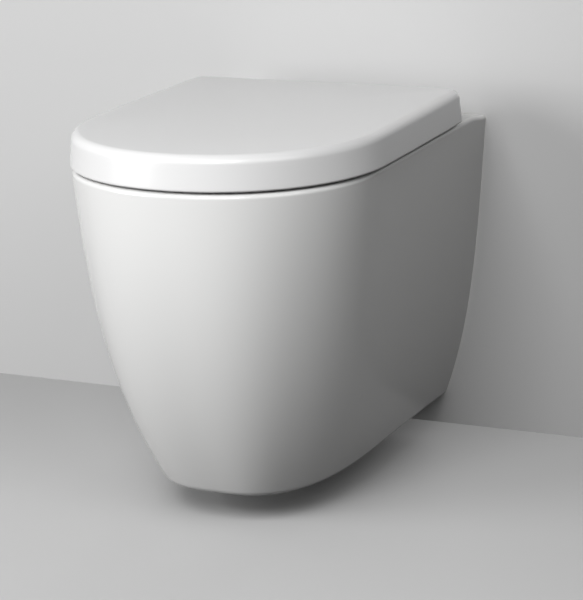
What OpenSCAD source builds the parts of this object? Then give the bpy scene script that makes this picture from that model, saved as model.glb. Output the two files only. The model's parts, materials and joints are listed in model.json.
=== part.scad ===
// Wall hung toilet: a shrouded rimless pan with a wrap-over seat and lid.
// Origin: midway between the two wall studs, in the face of the wall.
// +X is right as seen from the front, +Y points into the wall, +Z is up.

/* [Wall connections] */
// Distance between the two wall studs
stud_spacing = 180; // [175:1:185]
// Hole for an M12 wall stud
stud_hole_d = 13; // [12.5:0.5:15]
// Height of the pan's rim above the wall studs
rim_height = 80; // [76:1:86]
// Height of the flush inlet above the wall studs
inlet_height = 35; // [32:1:37]
// Bore of the flush inlet
inlet_d = 55; // [50:1:58]
// Depth of the flush inlet's bore
inlet_depth = 40; // [34:1:46]
// Depth of the outlet below the wall studs
outlet_drop = 100; // [94:1:106]
// Outside diameter of the outlet spigot
outlet_d = 102; // [98:1:106]
// Straight length of the outlet spigot
outlet_length = 45; // [36:1:50]
// Distance of the spigot's end and the inlet's mouth from the wall
pipe_setback = 8; // [4:1:14]

/* [Pan] */
// Width of the pan at the rim, against the wall
pan_width = 349; // [340:1:360]
// Distance from the wall to the front of the pan
pan_projection = 496; // [485:1:512]
// Height of the pan
pan_height = 364; // [354:1:372]
// Depth of the rounded front of the rim
front_depth = 159; // [145:1:175]
// Extra depth of the rounded front at the bottom
front_depth_growth = 64; // [54:1:74]
// Squareness of the rounded front at the rim
front_power = 2.12; // [2:0.01:2.4]
// Extra squareness of the rounded front at the bottom
front_power_growth = 0.8; // [0.6:0.02:1]
// Straight lean of each flank from rim to bottom
flank_lean = 31.6; // [26:0.2:36]
// Curved tuck of each flank from rim to bottom
flank_tuck = 28.4; // [24:0.2:34]
// Power of the curve of the flanks
flank_curve = 3.75; // [3.2:0.05:4.2]
// Tuck of the front from rim to bottom
front_tuck = 87; // [78:1:94]
// Power of the curve of the front
front_curve = 2.35; // [2.1:0.05:2.6]
// Spread of each flank from the wall to the front, at the rim
rim_spread = 0.4; // [0.2:0.1:2]
// Loss of that spread from rim to bottom
spread_loss = 4.6; // [2:0.1:7]
// Wall of the glazed shroud
shroud_wall = 12; // [9:1:14]
// Thickness of the rim and the deck
deck_thickness = 12; // [10:1:14]
// Fall of the deck from behind the lid to the wall
deck_fall = 6; // [1:0.5:6]
// Round along the pan's upper edge
rim_round = 9; // [6:0.5:11]
// Round along the pan's lower edge
foot_round = 8; // [5:0.5:10]

/* [Bowl] */
// Width of the flat rim beside the bowl
rim_land = 55.5; // [50:0.5:60]
// Width of the flat rim in front of the bowl
front_land = 47; // [42:1:56]
// Distance from the wall to the back of the bowl
bowl_back = 130; // [127:1:138]
// Squareness of the bowl
bowl_power = 2.3; // [2:0.05:2.8]
// Thickness of the bowl's wall
bowl_wall = 10; // [8:1:11]
// Depth of the upright wall above the flushing shelf
shelf_depth = 34; // [28:1:36]
// Width of the flushing shelf
shelf_width = 12; // [8:1:15]
// Depth of the bowl below the rim
bowl_depth = 305; // [298:1:312]
// Inside diameter of the trap
trap_d = 56; // [52:1:60]
// Depth of the water seal
water_seal = 54; // [50:1:60]
// Width of the flush duct's mouth
duct_width = 70; // [60:2:80]
// Height of the flush duct's mouth
duct_height = 18; // [14:1:20]

/* [Seat and lid] */
// Width of the lid
lid_width = 362; // [352:1:372]
// Distance from the wall to the front of the lid
lid_projection = 499; // [492:1:510]
// Distance from the wall to the back of the lid
lid_back = 74; // [68:1:77]
// Depth of the lid's rounded front
lid_front_depth = 172; // [160:1:185]
// Squareness of the lid's rounded front
lid_power = 2.08; // [2:0.02:2.4]
// Narrowing of each side of the lid towards its back
lid_narrowing = 2.6; // [0:0.2:5]
// Height of the lid
lid_height = 38; // [36:0.2:42]
// Draft of the lid's sides from their lower edge to the top
lid_draft = 4; // [2:0.2:5]
// Rise of the lid's top above its edge
lid_crown = 1.2; // [0:0.2:3]
// Thickness of the lid's shell
lid_wall = 4.5; // [3.5:0.5:5]
// Round along the lid's upper edge
lid_round = 9.4; // [7:0.2:11]
// Round along the lid's lower edge
lid_lower_round = 2.5; // [1:0.5:3]
// Round of the lid's back corners
lid_corner = 20; // [16:1:24]
// Gap between the lid's lower edge and the rim
lid_gap = 2.8; // [2.6:0.1:4]
// Gap between the lid's shell and the seat's edge
seat_margin = 4; // [3:0.5:6]
// Gap between the seat and the rim
seat_gap = 5; // [4.5:0.5:6.5]
// Thickness of the seat
seat_thickness = 21; // [19:1:22]
// Width of the seat's opening
seat_hole_width = 222; // [210:2:232]
// Distance from the wall to the back of the seat's opening
seat_hole_back = 172; // [165:1:180]
// Width of the seat in front of its opening
seat_front_width = 49; // [46:0.5:54]
// Round along the seat's upper edges
seat_round = 6; // [3:0.5:8]
// Length of a seat bumper
bumper_length = 30; // [20:1:36]
// Width of a seat bumper
bumper_width = 12; // [8:1:16]
// Distance from the wall to the rear seat bumpers
rear_bumper_place = 210; // [190:1:240]
// Distance from the wall to the front seat bumpers
front_bumper_place = 380; // [350:1:400]
// Diameter of a lid bumper
lid_bumper_d = 14; // [10:1:18]
// Distance from the wall to the rear lid bumpers
rear_lid_bumper_place = 250; // [225:1:280]
// Distance from the wall to the front lid bumpers
front_lid_bumper_place = 400; // [370:1:415]

/* [Hinges] */
// Distance between the two hinge holes in the deck
hinge_spacing = 155; // [150:1:160]
// Diameter of the hinge holes in the deck
hinge_hole_d = 15; // [14:0.5:16]
// Distance of the hinge axis ahead of the lid's back
hinge_inset = 11; // [10:0.5:12]
// Height of the hinge axis above the rim
hinge_rise = 22; // [21:0.5:23]
// Distance from the hinge axis forward to the posts
post_offset = 16; // [15.5:0.5:17.5]
// Diameter of a hinge post
post_d = 10; // [9:0.5:10.5]
// Depth of the latch groove round a hinge post
groove_depth = 1.1; // [0.8:0.1:1.4]
// Diameter of a post's threaded shank
shank_d = 8; // [6:0.5:8]
// Diameter of a hinge's base plate
base_d = 42; // [36:1:44]
// Thickness of a hinge's base plate
base_thickness = 2.5; // [2:0.5:3]
// Thickness of the gasket below a base plate
gasket_thickness = 1; // [0.5:0.1:1.5]
// Width of a hinge block along the hinge axis
block_width = 31; // [29:1:34]
// Radius of a hinge block's barrel
barrel_r = 11; // [10.5:0.5:11.5]
// Diameter of a soft-close damper
damper_d = 15; // [13:0.5:16]
// Length of a soft-close damper
damper_length = 23; // [20:0.5:24]
// Diameter of a damper's shaft
shaft_d = 8; // [7:0.5:9]
// Width across the flats of a damper's shaft
shaft_flats = 6; // [5:0.5:6.5]
// Diameter of a plain hinge pin
pin_d = 6; // [5:0.5:7]
// Wall of a plain hinge bush
bush_wall = 1.5; // [1:0.25:2]
// Width of a hinge lug on the seat or the lid
lug_width = 16.6; // [14:0.2:18]
// Radius of a seat lug
seat_lug_r = 10.5; // [9.5:0.5:11]
// Radius of a lid lug
lid_lug_r = 9; // [8:0.5:10]
// Diameter of the wire of a latch clip
clip_wire_d = 1.5; // [1.2:0.1:1.8]
// Width of a release button
button_width = 16; // [14:1:18]
// Height of a release button
button_height = 5.4; // [4.6:0.2:5.6]
// Travel of a release button
button_travel = 3; // [2:0.5:3]

/* [Wall brackets] */
// Length of a bracket from the wall
bracket_length = 114; // [108:1:120]
// Height of a bracket's arm
bracket_arm_height = 32; // [26:1:36]
// Thickness of a bracket's wall plate
bracket_plate = 10; // [8:1:14]
// Height of a bracket's wall plate
bracket_plate_height = 60; // [52:1:64]
// Width across the pocket for the stud's nut
nut_pocket = 30; // [26:1:32]
// Thickness of the ledge that rests on a bracket
ledge_thickness = 12; // [10:1:14]
// Diameter of a clamp screw
clamp_screw_d = 8; // [6:1:8]
// Length of a clamp screw below its head
clamp_screw_length = 40; // [32:1:42]

/* [Clearances] */
// Radial running clearance of shafts, pins and posts
running_gap = 0.05; // [0.02:0.01:0.08]
// Clearance between pieces that lie side by side
side_gap = 0.4; // [0.3:0.1:0.6]
// Clearance between a resting piece and its seat
rest_gap = 0.3; // [0.2:0.05:0.4]
// Clearance round a sliding release button
slide_gap = 0.25; // [0.2:0.05:0.4]

/* [Hidden] */
$fn = 48;

// Run of a cut past the face it opens, and of solids that grow together
eps = 0.5;
merge = 2;

// Counts of points in the lofted shapes
side_steps = 3;
front_steps = 32;
corner_steps = 5;
round_steps = 4;
bowl_steps = 40;
flank_steps = 8;
climb_steps = 7;
fall_steps = 4;
deck_steps = 8;
trap_sides = 16;

// Levels and places that several pieces share
rim_z = rim_height;
foot_z = rim_z - pan_height;
lid_z = rim_z + lid_gap;
lid_top_z = lid_z + lid_height;
lid_ceiling_z = lid_top_z - lid_wall;
seat_z = rim_z + seat_gap;
seat_top_z = seat_z + seat_thickness;
hinge_y = -(lid_back + hinge_inset);
hinge_z = rim_z + hinge_rise;
post_y = hinge_y - post_offset;
hinge_x = hinge_spacing / 2;
stud_x = stud_spacing / 2;
base_z = rim_z + gasket_thickness;
base_top_z = base_z + base_thickness;

// Seat outline, inside the lid's shell
seat_inset = lid_wall + seat_margin;
seat_back = -post_y + post_d / 2 + 12;
seat_corner = 12;
seat_lower_round = 3;
seat_hole_half = seat_hole_width / 2;
seat_hole_front = lid_projection - seat_inset - seat_front_width;
seat_hole_power = 2.5;
// Seat hole profile: [depth below the seat's top, inset]
seat_hole_profile = [
    [-eps, -9], [1.5, -6], [5, -2], [10, 0], [seat_thickness - 3, 0], [seat_thickness + eps, -3],
];
// Arms that carry the seat's lugs back to the hinge axis
seat_arm_half = 8;
seat_arm_root = 14;

// Lid: rise and inset of its crown, round under its top, return and lip of its open back, neck of its lugs
lid_crown_rows = [[lid_top_z + lid_crown, 90], [lid_top_z + lid_crown * 0.75, 50]];
lid_inner_round = 3;
lid_back_return = 25;
lid_lip = 2;
lid_neck = 6;

// Hinge block
tower_wall = 6;
tower_half = 13;
tower_front = post_y - post_d / 2 - tower_wall;
tower_back = post_y + post_d / 2 + 4;
tower_top_z = hinge_z + 9;
tower_roof = 4;
block_z = base_top_z + side_gap;
post_top_z = tower_top_z - tower_roof;
foot_back_y = hinge_y + 2;
foot_top_z = hinge_z - 6;
post_chamfer = 1.5;
post_socket_r = 2.9;
post_socket_depth = 5;

// Latch: a wire clip in the post's groove, spread by the release button
button_floor = 0.8;
button_proud = 3;
button_z = block_z + button_floor;
button_back_y = foot_back_y + button_proud;
button_stop = button_travel + 1;
channel_y = post_y + 4;
clip_z = button_z + button_height / 2;
clip_leg_x = post_d / 2 - groove_depth + clip_wire_d / 2 + running_gap;
clip_bend_y = post_y - 2;
clip_end_y = post_y + 5;
clip_tip_y = clip_end_y + 2;
clip_tip_x = clip_leg_x + 1.8;
prong_tip_y = clip_tip_y + clip_wire_d / 2 + rest_gap;
clip_room = clip_wire_d + 1;
clip_side_room = 3;

// Hinge lugs and pins: the damper is at the +X end of each block
lug_floor = 1.6;
lug_reach = lug_width - lug_floor;
lug_end_gap = 0.2;
block_half = block_width / 2;
damper_inner = block_half - damper_length;
damper_end = 5;
pin_r = pin_d / 2;
bush_r = pin_r + running_gap + bush_wall;

// Base plates, gaskets, deck bushes and their nuts
base_bevel = 1;
gasket_margin = 0.5;
bush_bulge = 2.5;
bulge_start = 2;
bulge_end = 6;
bush_foot = 1;
bush_drop = deck_thickness + 13;
nut_margin = 1;
nut_height = 9;
shank_drop = bush_drop + nut_height;
shank_end = 1;

// Wall brackets, ledges and clamp screws
arm_top_z = bracket_arm_height / 2;
arm_inner_x = hinge_x - 14;
arm_outer_x = stud_x + nut_pocket / 2 + 7;
nut_pocket_end = bracket_plate + 28;
ledge_z = arm_top_z + rest_gap;
ledge_top_z = ledge_z + ledge_thickness;
ledge_front = bracket_length + 6;
ledge_back = nut_pocket_end + 14;
bracket_flange = 3;
bracket_plate_round = 6;
bracket_arm_round = 5;
web_thickness = 9;
washer_thickness = 1.6;
washer_rim = 1;
bolt_play = 0.4;
clamp_play = 1;
clamp_head_d = 13;
clamp_head_height = 8;
clamp_socket_r = 3.5;
clamp_socket_depth = 4;
clamp_seat_z = ledge_top_z + washer_thickness;
clamp_end_z = clamp_seat_z - clamp_screw_length;
insert_wall = 2;
insert_z = arm_top_z - 24;

// Length of the deck's fall
deck_fall_length = 50;

// Bowl opening, in the rim's plane
bowl_half = pan_width / 2 - rim_land;
bowl_front = pan_projection - front_land;
bowl_floor_z = rim_z - bowl_depth;

// Trap: level out of the sump, up over the weir, down into the spigot
trap_r = trap_d / 2;
trap_wall = 8;
sump_y = -(bowl_back + 120);
sump_z = bowl_floor_z + trap_r + 1;
climb_y = -(bowl_back + 90);
weir_y = -112;
weir_z = sump_z + trap_r + water_seal + trap_r;
spigot_bore_r = outlet_d / 2 - trap_wall;
spigot_start_y = -(pipe_setback + outlet_length);
trap_run_in = 6;
trap_bore_step = 0.4;

// Chamber and duct from the flush inlet to the back of the bowl
duct_wall = 9;
inlet_wall = 11;
chamber_length = 26;
chamber_half = 24;
chamber_drop = 18;
duct_z = rim_z - deck_thickness - duct_height;
inlet_boss_r = inlet_d / 2 + inlet_wall;
inlet_end_y = -(pipe_setback + inlet_depth);

// Points of a front that runs from the right flank round to the left flank
function superellipse(half, depth, start, power, steps) = [
    for (i = [0:steps])
        let (t = 180 * i / steps, c = cos(t), s = sin(t))
            [sign(c) * pow(abs(c), 2 / power) * half, start - depth * pow(abs(s), 2 / power)]
];

// Right flank, bending from its width at the back to its width at the front
function flank(half_back, half_front, back, start) = [
    for (i = [0:side_steps - 1])
        let (u = i / side_steps, bend = 1 - pow(1 - u, 2))
            [half_back + (half_front - half_back) * bend, back + (start - back) * u]
];

// Quarter round at the right back corner
function back_corner(half_back, back, r) = [
    for (i = [0:corner_steps - 1])
        let (a = 90 - 90 * i / corner_steps)
            [half_back - r + r * cos(a), back - r + r * sin(a)]
];

function mirrored(points) = [for (i = [len(points) - 1:-1:0]) [-points[i][0], points[i][1]]];

// D-shaped outline: straight back, nearly straight flanks and a rounded front
function d_outline(half_back, half_front, projection, depth, power, back, corner) =
    let (
        start = -(projection - depth),
        round = corner > 0 ? back_corner(half_back, back, corner) : [],
        side = flank(half_back, half_front, back - corner, start)
    )
    concat(
        round, side,
        superellipse(half_front, depth, start, power, front_steps),
        mirrored(side), mirrored(round)
    );

// Closed oval between a front and a back distance from the wall
function oval(half, front, back, power, steps) =
    let (mid = (front + back) / 2, reach = (front - back) / 2)
    [
        for (i = [0:steps - 1])
            let (t = 360 * i / steps, c = cos(t), s = sin(t))
                [
                    sign(c) * pow(abs(c), 2 / power) * half,
                    -mid - sign(s) * pow(abs(s), 2 / power) * reach
                ]
    ];

// Solid through a list of [height, outline] levels, given from the top down
module loft(levels) {
    n = len(levels[0][1]);
    last = len(levels) - 1;
    points = [for (level = levels) for (p = level[1]) [p[0], p[1], level[0]]];
    sides = [
        for (k = [0:last - 1])
            for (i = [0:n - 1])
                let (j = (i + 1) % n, a = k * n + i, b = k * n + j, c = a + n, d = b + n)
                    each [[b, a, c], [b, c, d]]
    ];
    top = [for (i = [0:n - 1]) i];
    bottom = [for (i = [n - 1:-1:0]) last * n + i];
    polyhedron(points = points, faces = concat([top], sides, [bottom]), convexity = 6);
}

// Tube in the plane x = 0 through [y, z, radius] stations
module swept_tube(stations, sides) {
    last = len(stations) - 1;
    heading = [
        for (k = [0:last])
            let (a = stations[max(k - 1, 0)], b = stations[min(k + 1, last)])
                atan2(b[1] - a[1], b[0] - a[0])
    ];
    points = [
        for (k = [0:last])
            for (i = [0:sides - 1])
                let (t = 360 * i / sides, s = stations[k], r = s[2], h = heading[k])
                    [r * cos(t), s[0] - r * sin(t) * sin(h), s[1] + r * sin(t) * cos(h)]
    ];
    walls = [
        for (k = [0:last - 1])
            for (i = [0:sides - 1])
                let (j = (i + 1) % sides, a = k * sides + i, b = k * sides + j, c = a + sides, d = b + sides)
                    each [[a, b, c], [b, d, c]]
    ];
    start = [for (i = [sides - 1:-1:0]) i];
    end = [for (i = [0:sides - 1]) last * sides + i];
    polyhedron(points = points, faces = concat([start], walls, [end]), convexity = 4);
}

// Box from its lowest to its highest corner
module block(low, high) {
    translate(low) cube(high - low);
}

module rounded_plate(w, h, r) {
    square([w - 2 * r, h], center = true);
    square([w, h - 2 * r], center = true);
    for (x = [-1, 1], y = [-1, 1])
        translate([x * (w / 2 - r), y * (h / 2 - r)]) circle(r);
}

// Cylinder along +X from x0 to x1, on the hinge axis
module on_hinge_axis(x0, x1, r) {
    translate([x0, hinge_y, hinge_z]) rotate([0, 90, 0]) cylinder(h = x1 - x0, r = r);
}

// Cylinder along +Y from y0 to y1
module along_y(x, z, y0, y1, r) {
    translate([x, y0, z]) rotate([-90, 0, 0]) cylinder(h = y1 - y0, r = r);
}

module upright(x, y, z0, z1, r) {
    translate([x, y, z0]) cylinder(h = z1 - z0, r = r);
}

// Outline of the pan at a share of its height down from the rim, drawn in by an inset
function pan_outline(s, inset, back) =
    let (
        half = pan_width / 2 - flank_lean * s - flank_tuck * pow(s, flank_curve),
        projection = pan_projection - front_tuck * pow(s, front_curve)
    )
    d_outline(
        half - inset, half + rim_spread - spread_loss * s - inset, projection - inset,
        front_depth + front_depth_growth * s - inset * 0.9,
        front_power + front_power_growth * s, back, 0
    );

function depth_share(z) = (rim_z - z) / pan_height;

// Heights and insets of a rounded edge: up is 1 at a top edge and -1 at a bottom edge
function edge_levels(z, r, up) = [
    for (i = [0:round_steps])
        let (a = 90 * i / round_steps)
            [z - up * r * (1 - cos(a)), r * (1 - sin(a))]
];

module pan_body() {
    upper = edge_levels(rim_z, rim_round, 1);
    lower = edge_levels(foot_z, foot_round, -1);
    flanks = [
        for (i = [1:flank_steps])
            let (z0 = rim_z - rim_round, z1 = foot_z + foot_round)
                [z0 + (z1 - z0) * i / (flank_steps + 1), 0]
    ];
    rows = concat(upper, flanks, [for (i = [round_steps:-1:0]) lower[i]]);
    loft([for (row = rows) [row[0], pan_outline(depth_share(row[0]), row[1], 0)]]);
}

// Space between the shroud and the bowl, open to the wall
module shroud_space() {
    z0 = rim_z - deck_thickness;
    z1 = foot_z + shroud_wall;
    steps = 5;
    loft([
        for (i = [0:steps])
            let (z = z0 + (z1 - z0) * i / steps)
                [z, pan_outline(depth_share(z), shroud_wall, eps)]
    ]);
}

// Space over the deck where it falls to the wall in an S curve
module deck_fall_space() {
    reach = pan_width / 2 + merge;
    rows = concat([[rim_z + eps, -deck_fall_length]], [
        for (i = [1:deck_steps])
            let (u = i / deck_steps)
                [rim_z - deck_fall * u * u * (3 - 2 * u), -deck_fall_length * (1 - u)]
    ]);
    loft([for (row = rows) [row[0], [[reach, row[1]], [-reach, row[1]], [-reach, eps], [reach, eps]]]]);
}

// Bowl profile: [depth below the rim, inset at the sides, at the front, at the back]
bowl_profile = [
    [-eps, -4, -4, -4],
    [1.2, -1.2, -1.2, -1.2],
    [4, 0, 0, 0],
    [shelf_depth, 0, 0, 0],
    [shelf_depth + 6, shelf_width, shelf_width, shelf_width],
    [100, 30, 34, 36],
    [160, 51, 70, 60],
    [200, 64, 104, 76],
    [245, 76, 142, 92],
    [bowl_depth - 20, 84, 168, 98],
    [bowl_depth, 96, 192, 110],
];

module bowl_space(wall, rows) {
    loft([
        for (row = rows)
            [
                rim_z - row[0] - (row[0] == bowl_depth ? wall : 0),
                oval(
                    bowl_half - row[1] + wall, bowl_front - row[2] + wall,
                    bowl_back + row[3] - wall, bowl_power, bowl_steps
                )
            ]
    ]);
}

// Bowl with its wall: starts inside the rim, and has no shelf on its outside
module bowl_shell() {
    below = [for (row = bowl_profile) if (row[0] > shelf_depth + 6) row];
    upper = [[deck_thickness - merge, 0, 0, 0], [shelf_depth + 4, 0, 0, 0]];
    bowl_space(bowl_wall, concat(upper, below));
}

function ease(t) = (1 - cos(180 * t)) / 2;
function blend(from, to, share) = from + (to - from) * share;

// Centre line and radius of the trap, as [y, z, radius]
trap_line = concat(
    [[sump_y, sump_z, trap_r]],
    [
        for (i = [0:climb_steps])
            let (t = i / climb_steps)
                [blend(climb_y, weir_y, t), blend(sump_z, weir_z, ease(t)), trap_r]
    ],
    [
        for (i = [1:fall_steps])
            let (t = i / fall_steps)
                [
                    blend(weir_y, spigot_start_y + trap_run_in, t), blend(weir_z, -outlet_drop, ease(t)),
                    blend(trap_r, spigot_bore_r - trap_bore_step, ease(t))
                ]
    ]
);

module trap_tube(wall) {
    swept_tube([for (s = trap_line) [s[0], s[1], s[2] + wall]], trap_sides);
}

module pan_connections() {
    along_y(0, -outlet_drop, spigot_start_y, -pipe_setback, outlet_d / 2);
    along_y(0, inlet_height, inlet_end_y - chamber_length - duct_wall, -pipe_setback, inlet_boss_r);
    block(
        [-duct_width / 2 - duct_wall, -bowl_back - bowl_wall / 2, duct_z - duct_wall],
        [duct_width / 2 + duct_wall, inlet_end_y + duct_wall, rim_z - deck_thickness + merge]
    );
}

// Block between the inner and the outer distance from the mid-plane, on either side
module side_block(side, inner, outer, y0, y1, z0, z1) {
    block([side > 0 ? inner : -outer, y0, z0], [side > 0 ? outer : -inner, y1, z1]);
}

// Ledge on one side that rests on the bracket, hung from the shroud and a web under the deck
module bracket_ledge(side) {
    outer = pan_width / 2 - shroud_wall;
    inner = duct_width / 2 + duct_wall - merge;
    side_block(side, inner, outer, -ledge_front, -ledge_back, ledge_z, ledge_top_z);
    side_block(
        side, inner, inner + web_thickness, -ledge_front, -ledge_back,
        ledge_z, rim_z - deck_thickness + merge
    );
}

module pan() {
    color("white")
    difference() {
        union() {
            difference() {
                pan_body();
                shroud_space();
            }
            bowl_shell();
            trap_tube(trap_wall);
            pan_connections();
            for (side = [-1, 1]) bracket_ledge(side);
        }
        deck_fall_space();
        bowl_space(0, bowl_profile);
        trap_tube(0);
        along_y(0, -outlet_drop, spigot_start_y - merge, 0, spigot_bore_r);
        along_y(0, inlet_height, inlet_end_y, 0, inlet_d / 2);
        block(
            [-duct_width / 2, -bowl_back - bowl_wall - merge, duct_z],
            [duct_width / 2, inlet_end_y - merge, duct_z + duct_height]
        );
        block(
            [-chamber_half, inlet_end_y - chamber_length, inlet_height - chamber_drop],
            [chamber_half, inlet_end_y + eps, duct_z + duct_height]
        );
        for (side = [-1, 1]) {
            upright(side * hinge_x, post_y, rim_z - deck_thickness - eps, rim_z + eps, hinge_hole_d / 2);
            upright(side * hinge_x, post_y, ledge_z - eps, ledge_top_z + eps, clamp_screw_d / 2 + clamp_play);
        }
    }
}

// Bracket on a wall stud: a wall plate, an arm under the pan's ledge and a pocket for the nut
module bracket(side) {
    x = side * hinge_x;
    arm_w = arm_outer_x - arm_inner_x;
    mid_x = (arm_outer_x + arm_inner_x) / 2;
    difference() {
        union() {
            translate([side * mid_x, 0, 0]) rotate([90, 0, 0])
                linear_extrude(bracket_plate)
                    rounded_plate(arm_w + 2 * bracket_flange, bracket_plate_height, bracket_plate_round);
            translate([side * mid_x, -bracket_length / 2, -arm_top_z])
                linear_extrude(bracket_arm_height) rounded_plate(arm_w, bracket_length, bracket_arm_round);
        }
        along_y(side * stud_x, 0, -bracket_length / 2, eps, stud_hole_d / 2);
        translate([side * stud_x - nut_pocket / 2, -nut_pocket_end, -arm_top_z - eps])
            cube([nut_pocket, nut_pocket_end - bracket_plate, bracket_arm_height + 2 * eps]);
        upright(x, post_y, insert_z, arm_top_z + eps, clamp_screw_d / 2 + insert_wall);
        upright(x, post_y, clamp_end_z - clamp_play, arm_top_z, clamp_screw_d / 2 + bolt_play);
    }
}

module bracket_left() { color("dimgray") bracket(-1); }
module bracket_right() { color("dimgray") bracket(1); }

// Threaded brass inserts in the brackets' arms
module bracket_inserts() {
    r = clamp_screw_d / 2;
    color("goldenrod")
    for (side = [-1, 1])
        difference() {
            upright(side * hinge_x, post_y, insert_z, arm_top_z, r + insert_wall - running_gap);
            upright(side * hinge_x, post_y, insert_z - eps, arm_top_z + eps, r);
        }
}

module clamp_washers() {
    color("silver")
    for (side = [-1, 1])
        difference() {
            upright(side * hinge_x, post_y, ledge_top_z, clamp_seat_z, clamp_head_d / 2 + washer_rim);
            upright(side * hinge_x, post_y, ledge_z, clamp_seat_z + eps, clamp_screw_d / 2 + bolt_play);
        }
}

// Cap screws, reached through the hinge holes, that clamp the ledges to the brackets
module clamp_screws() {
    head_z = clamp_seat_z + clamp_head_height;
    shank_r = clamp_screw_d / 2 - running_gap;
    color("silver")
    for (side = [-1, 1])
        difference() {
            union() {
                upright(side * hinge_x, post_y, clamp_seat_z, head_z, clamp_head_d / 2);
                upright(side * hinge_x, post_y, clamp_end_z, clamp_seat_z + eps, shank_r);
            }
            translate([side * hinge_x, post_y, head_z - clamp_socket_depth])
                cylinder(h = clamp_socket_depth + eps, r = clamp_socket_r, $fn = 6);
        }
}

// Expanding rubber bush, bulged under the deck
module deck_bush(side) {
    r = hinge_hole_d / 2 - running_gap;
    bulge = r + bush_bulge;
    under = -deck_thickness - rest_gap;
    bore = shank_d / 2 + running_gap;
    color("darkslategray")
    translate([side * hinge_x, post_y, rim_z])
        rotate_extrude()
            polygon([
                [bore, 0], [r, 0], [r, under], [bulge, under - bulge_start],
                [bulge, under - bulge_end], [r - bush_foot, -bush_drop], [bore, -bush_drop]
            ]);
}

module deck_bush_left() { deck_bush(-1); }
module deck_bush_right() { deck_bush(1); }

// Brass nuts that draw the bushes up
module bush_nuts() {
    color("goldenrod")
    for (side = [-1, 1])
        translate([side * hinge_x, post_y, rim_z - shank_drop])
            difference() {
                cylinder(h = nut_height, r = hinge_hole_d / 2 - nut_margin);
                translate([0, 0, -eps]) cylinder(h = nut_height + 2 * eps, r = shank_d / 2 + running_gap);
            }
}

module base_gaskets() {
    color("darkslategray")
    for (side = [-1, 1])
        difference() {
            upright(side * hinge_x, post_y, rim_z, base_z, base_d / 2 - gasket_margin);
            upright(side * hinge_x, post_y, rim_z - eps, base_z + eps, shank_d / 2 + rest_gap);
        }
}

// Round base plate with a turned-down edge
module hinge_base(side) {
    r = base_d / 2;
    hole = shank_d / 2 + running_gap;
    color("silver")
    translate([side * hinge_x, post_y, base_z])
        rotate_extrude()
            polygon([
                [hole, 0], [r, 0], [r, base_thickness - base_bevel],
                [r - base_bevel, base_thickness], [hole, base_thickness]
            ]);
}

module hinge_base_left() { hinge_base(-1); }
module hinge_base_right() { hinge_base(1); }

// Stainless shoulder pin: a grooved post above the base plate, a threaded shank below it
module hinge_post(side) {
    r = post_d / 2;
    groove = r - groove_depth;
    shank = shank_d / 2;
    end_z = rim_z - shank_drop - shank_end;
    g0 = clip_z - clip_room / 2;
    g1 = clip_z + clip_room / 2;
    color("silver")
    translate([side * hinge_x, post_y, 0])
        difference() {
            rotate_extrude()
                polygon([
                    [0, end_z], [shank, end_z], [shank, base_top_z],
                    [r, base_top_z], [r, g0], [groove, g0], [groove, g1], [r, g1],
                    [r, post_top_z - post_chamfer], [r - post_chamfer, post_top_z], [0, post_top_z]
                ]);
            translate([0, 0, post_top_z - post_socket_depth])
                cylinder(h = post_socket_depth + eps, r = post_socket_r, $fn = 6);
        }
}

module hinge_post_left() { hinge_post(-1); }
module hinge_post_right() { hinge_post(1); }

// Hinge block: a tower round the post, a barrel for damper and pin, and the button's channel
module hinge_block(x) {
    channel = button_width / 2 + slide_gap;
    color("lightgray")
    difference() {
        union() {
            on_hinge_axis(x - block_half, x + block_half, barrel_r);
            block([x - tower_half, tower_front, block_z], [x + tower_half, tower_back + merge, tower_top_z]);
            block([x - tower_half, tower_back, block_z], [x + tower_half, foot_back_y, foot_top_z]);
        }
        upright(x, post_y, block_z - eps, post_top_z + rest_gap, post_d / 2 + running_gap);
        on_hinge_axis(x + damper_inner, x + block_half + eps, damper_d / 2 + running_gap);
        on_hinge_axis(x - block_half - eps, x + damper_inner + eps, pin_r + running_gap / 2);
        block(
            [x - channel, channel_y, button_z - slide_gap],
            [x + channel, foot_back_y + eps, button_z + button_height + slide_gap]
        );
        block(
            [x - clip_tip_x - clip_side_room, clip_bend_y - clip_leg_x - clip_wire_d, clip_z - clip_room / 2],
            [x + clip_tip_x + clip_side_room, clip_end_y, clip_z + clip_room / 2]
        );
    }
}

module hinge_block_left() { hinge_block(-hinge_x); }
module hinge_block_right() { hinge_block(hinge_x); }

// Rotary damper cartridge at the +X end of a hinge block
module damper(x) {
    color("gray")
    difference() {
        on_hinge_axis(x + damper_inner + rest_gap, x + block_half, damper_d / 2);
        on_hinge_axis(x + damper_inner + damper_end, x + block_half + eps, shaft_d / 2 + running_gap);
    }
}

module seat_damper() { damper(hinge_x); }
module lid_damper() { damper(-hinge_x); }

// Damper shaft: round in the cartridge, with two flats in the lug that it turns
module damper_shaft(x) {
    lug = x + block_half + side_gap;
    color("dimgray") {
        on_hinge_axis(x + damper_inner + damper_end + rest_gap, lug, shaft_d / 2);
        intersection() {
            on_hinge_axis(lug - eps, lug + lug_reach, shaft_d / 2);
            translate([lug - eps, hinge_y - shaft_flats / 2, hinge_z - shaft_d])
                cube([lug_reach + eps, shaft_flats, 2 * shaft_d]);
        }
    }
}

module seat_damper_shaft() { damper_shaft(hinge_x); }
module lid_damper_shaft() { damper_shaft(-hinge_x); }

// Plain pin at the -X end of a hinge block
module hinge_pin(x) {
    color("silver")
    on_hinge_axis(x - block_half - side_gap - lug_reach, x + damper_inner, pin_r);
}

module lid_hinge_pin() { hinge_pin(hinge_x); }
module seat_hinge_pin() { hinge_pin(-hinge_x); }

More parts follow.
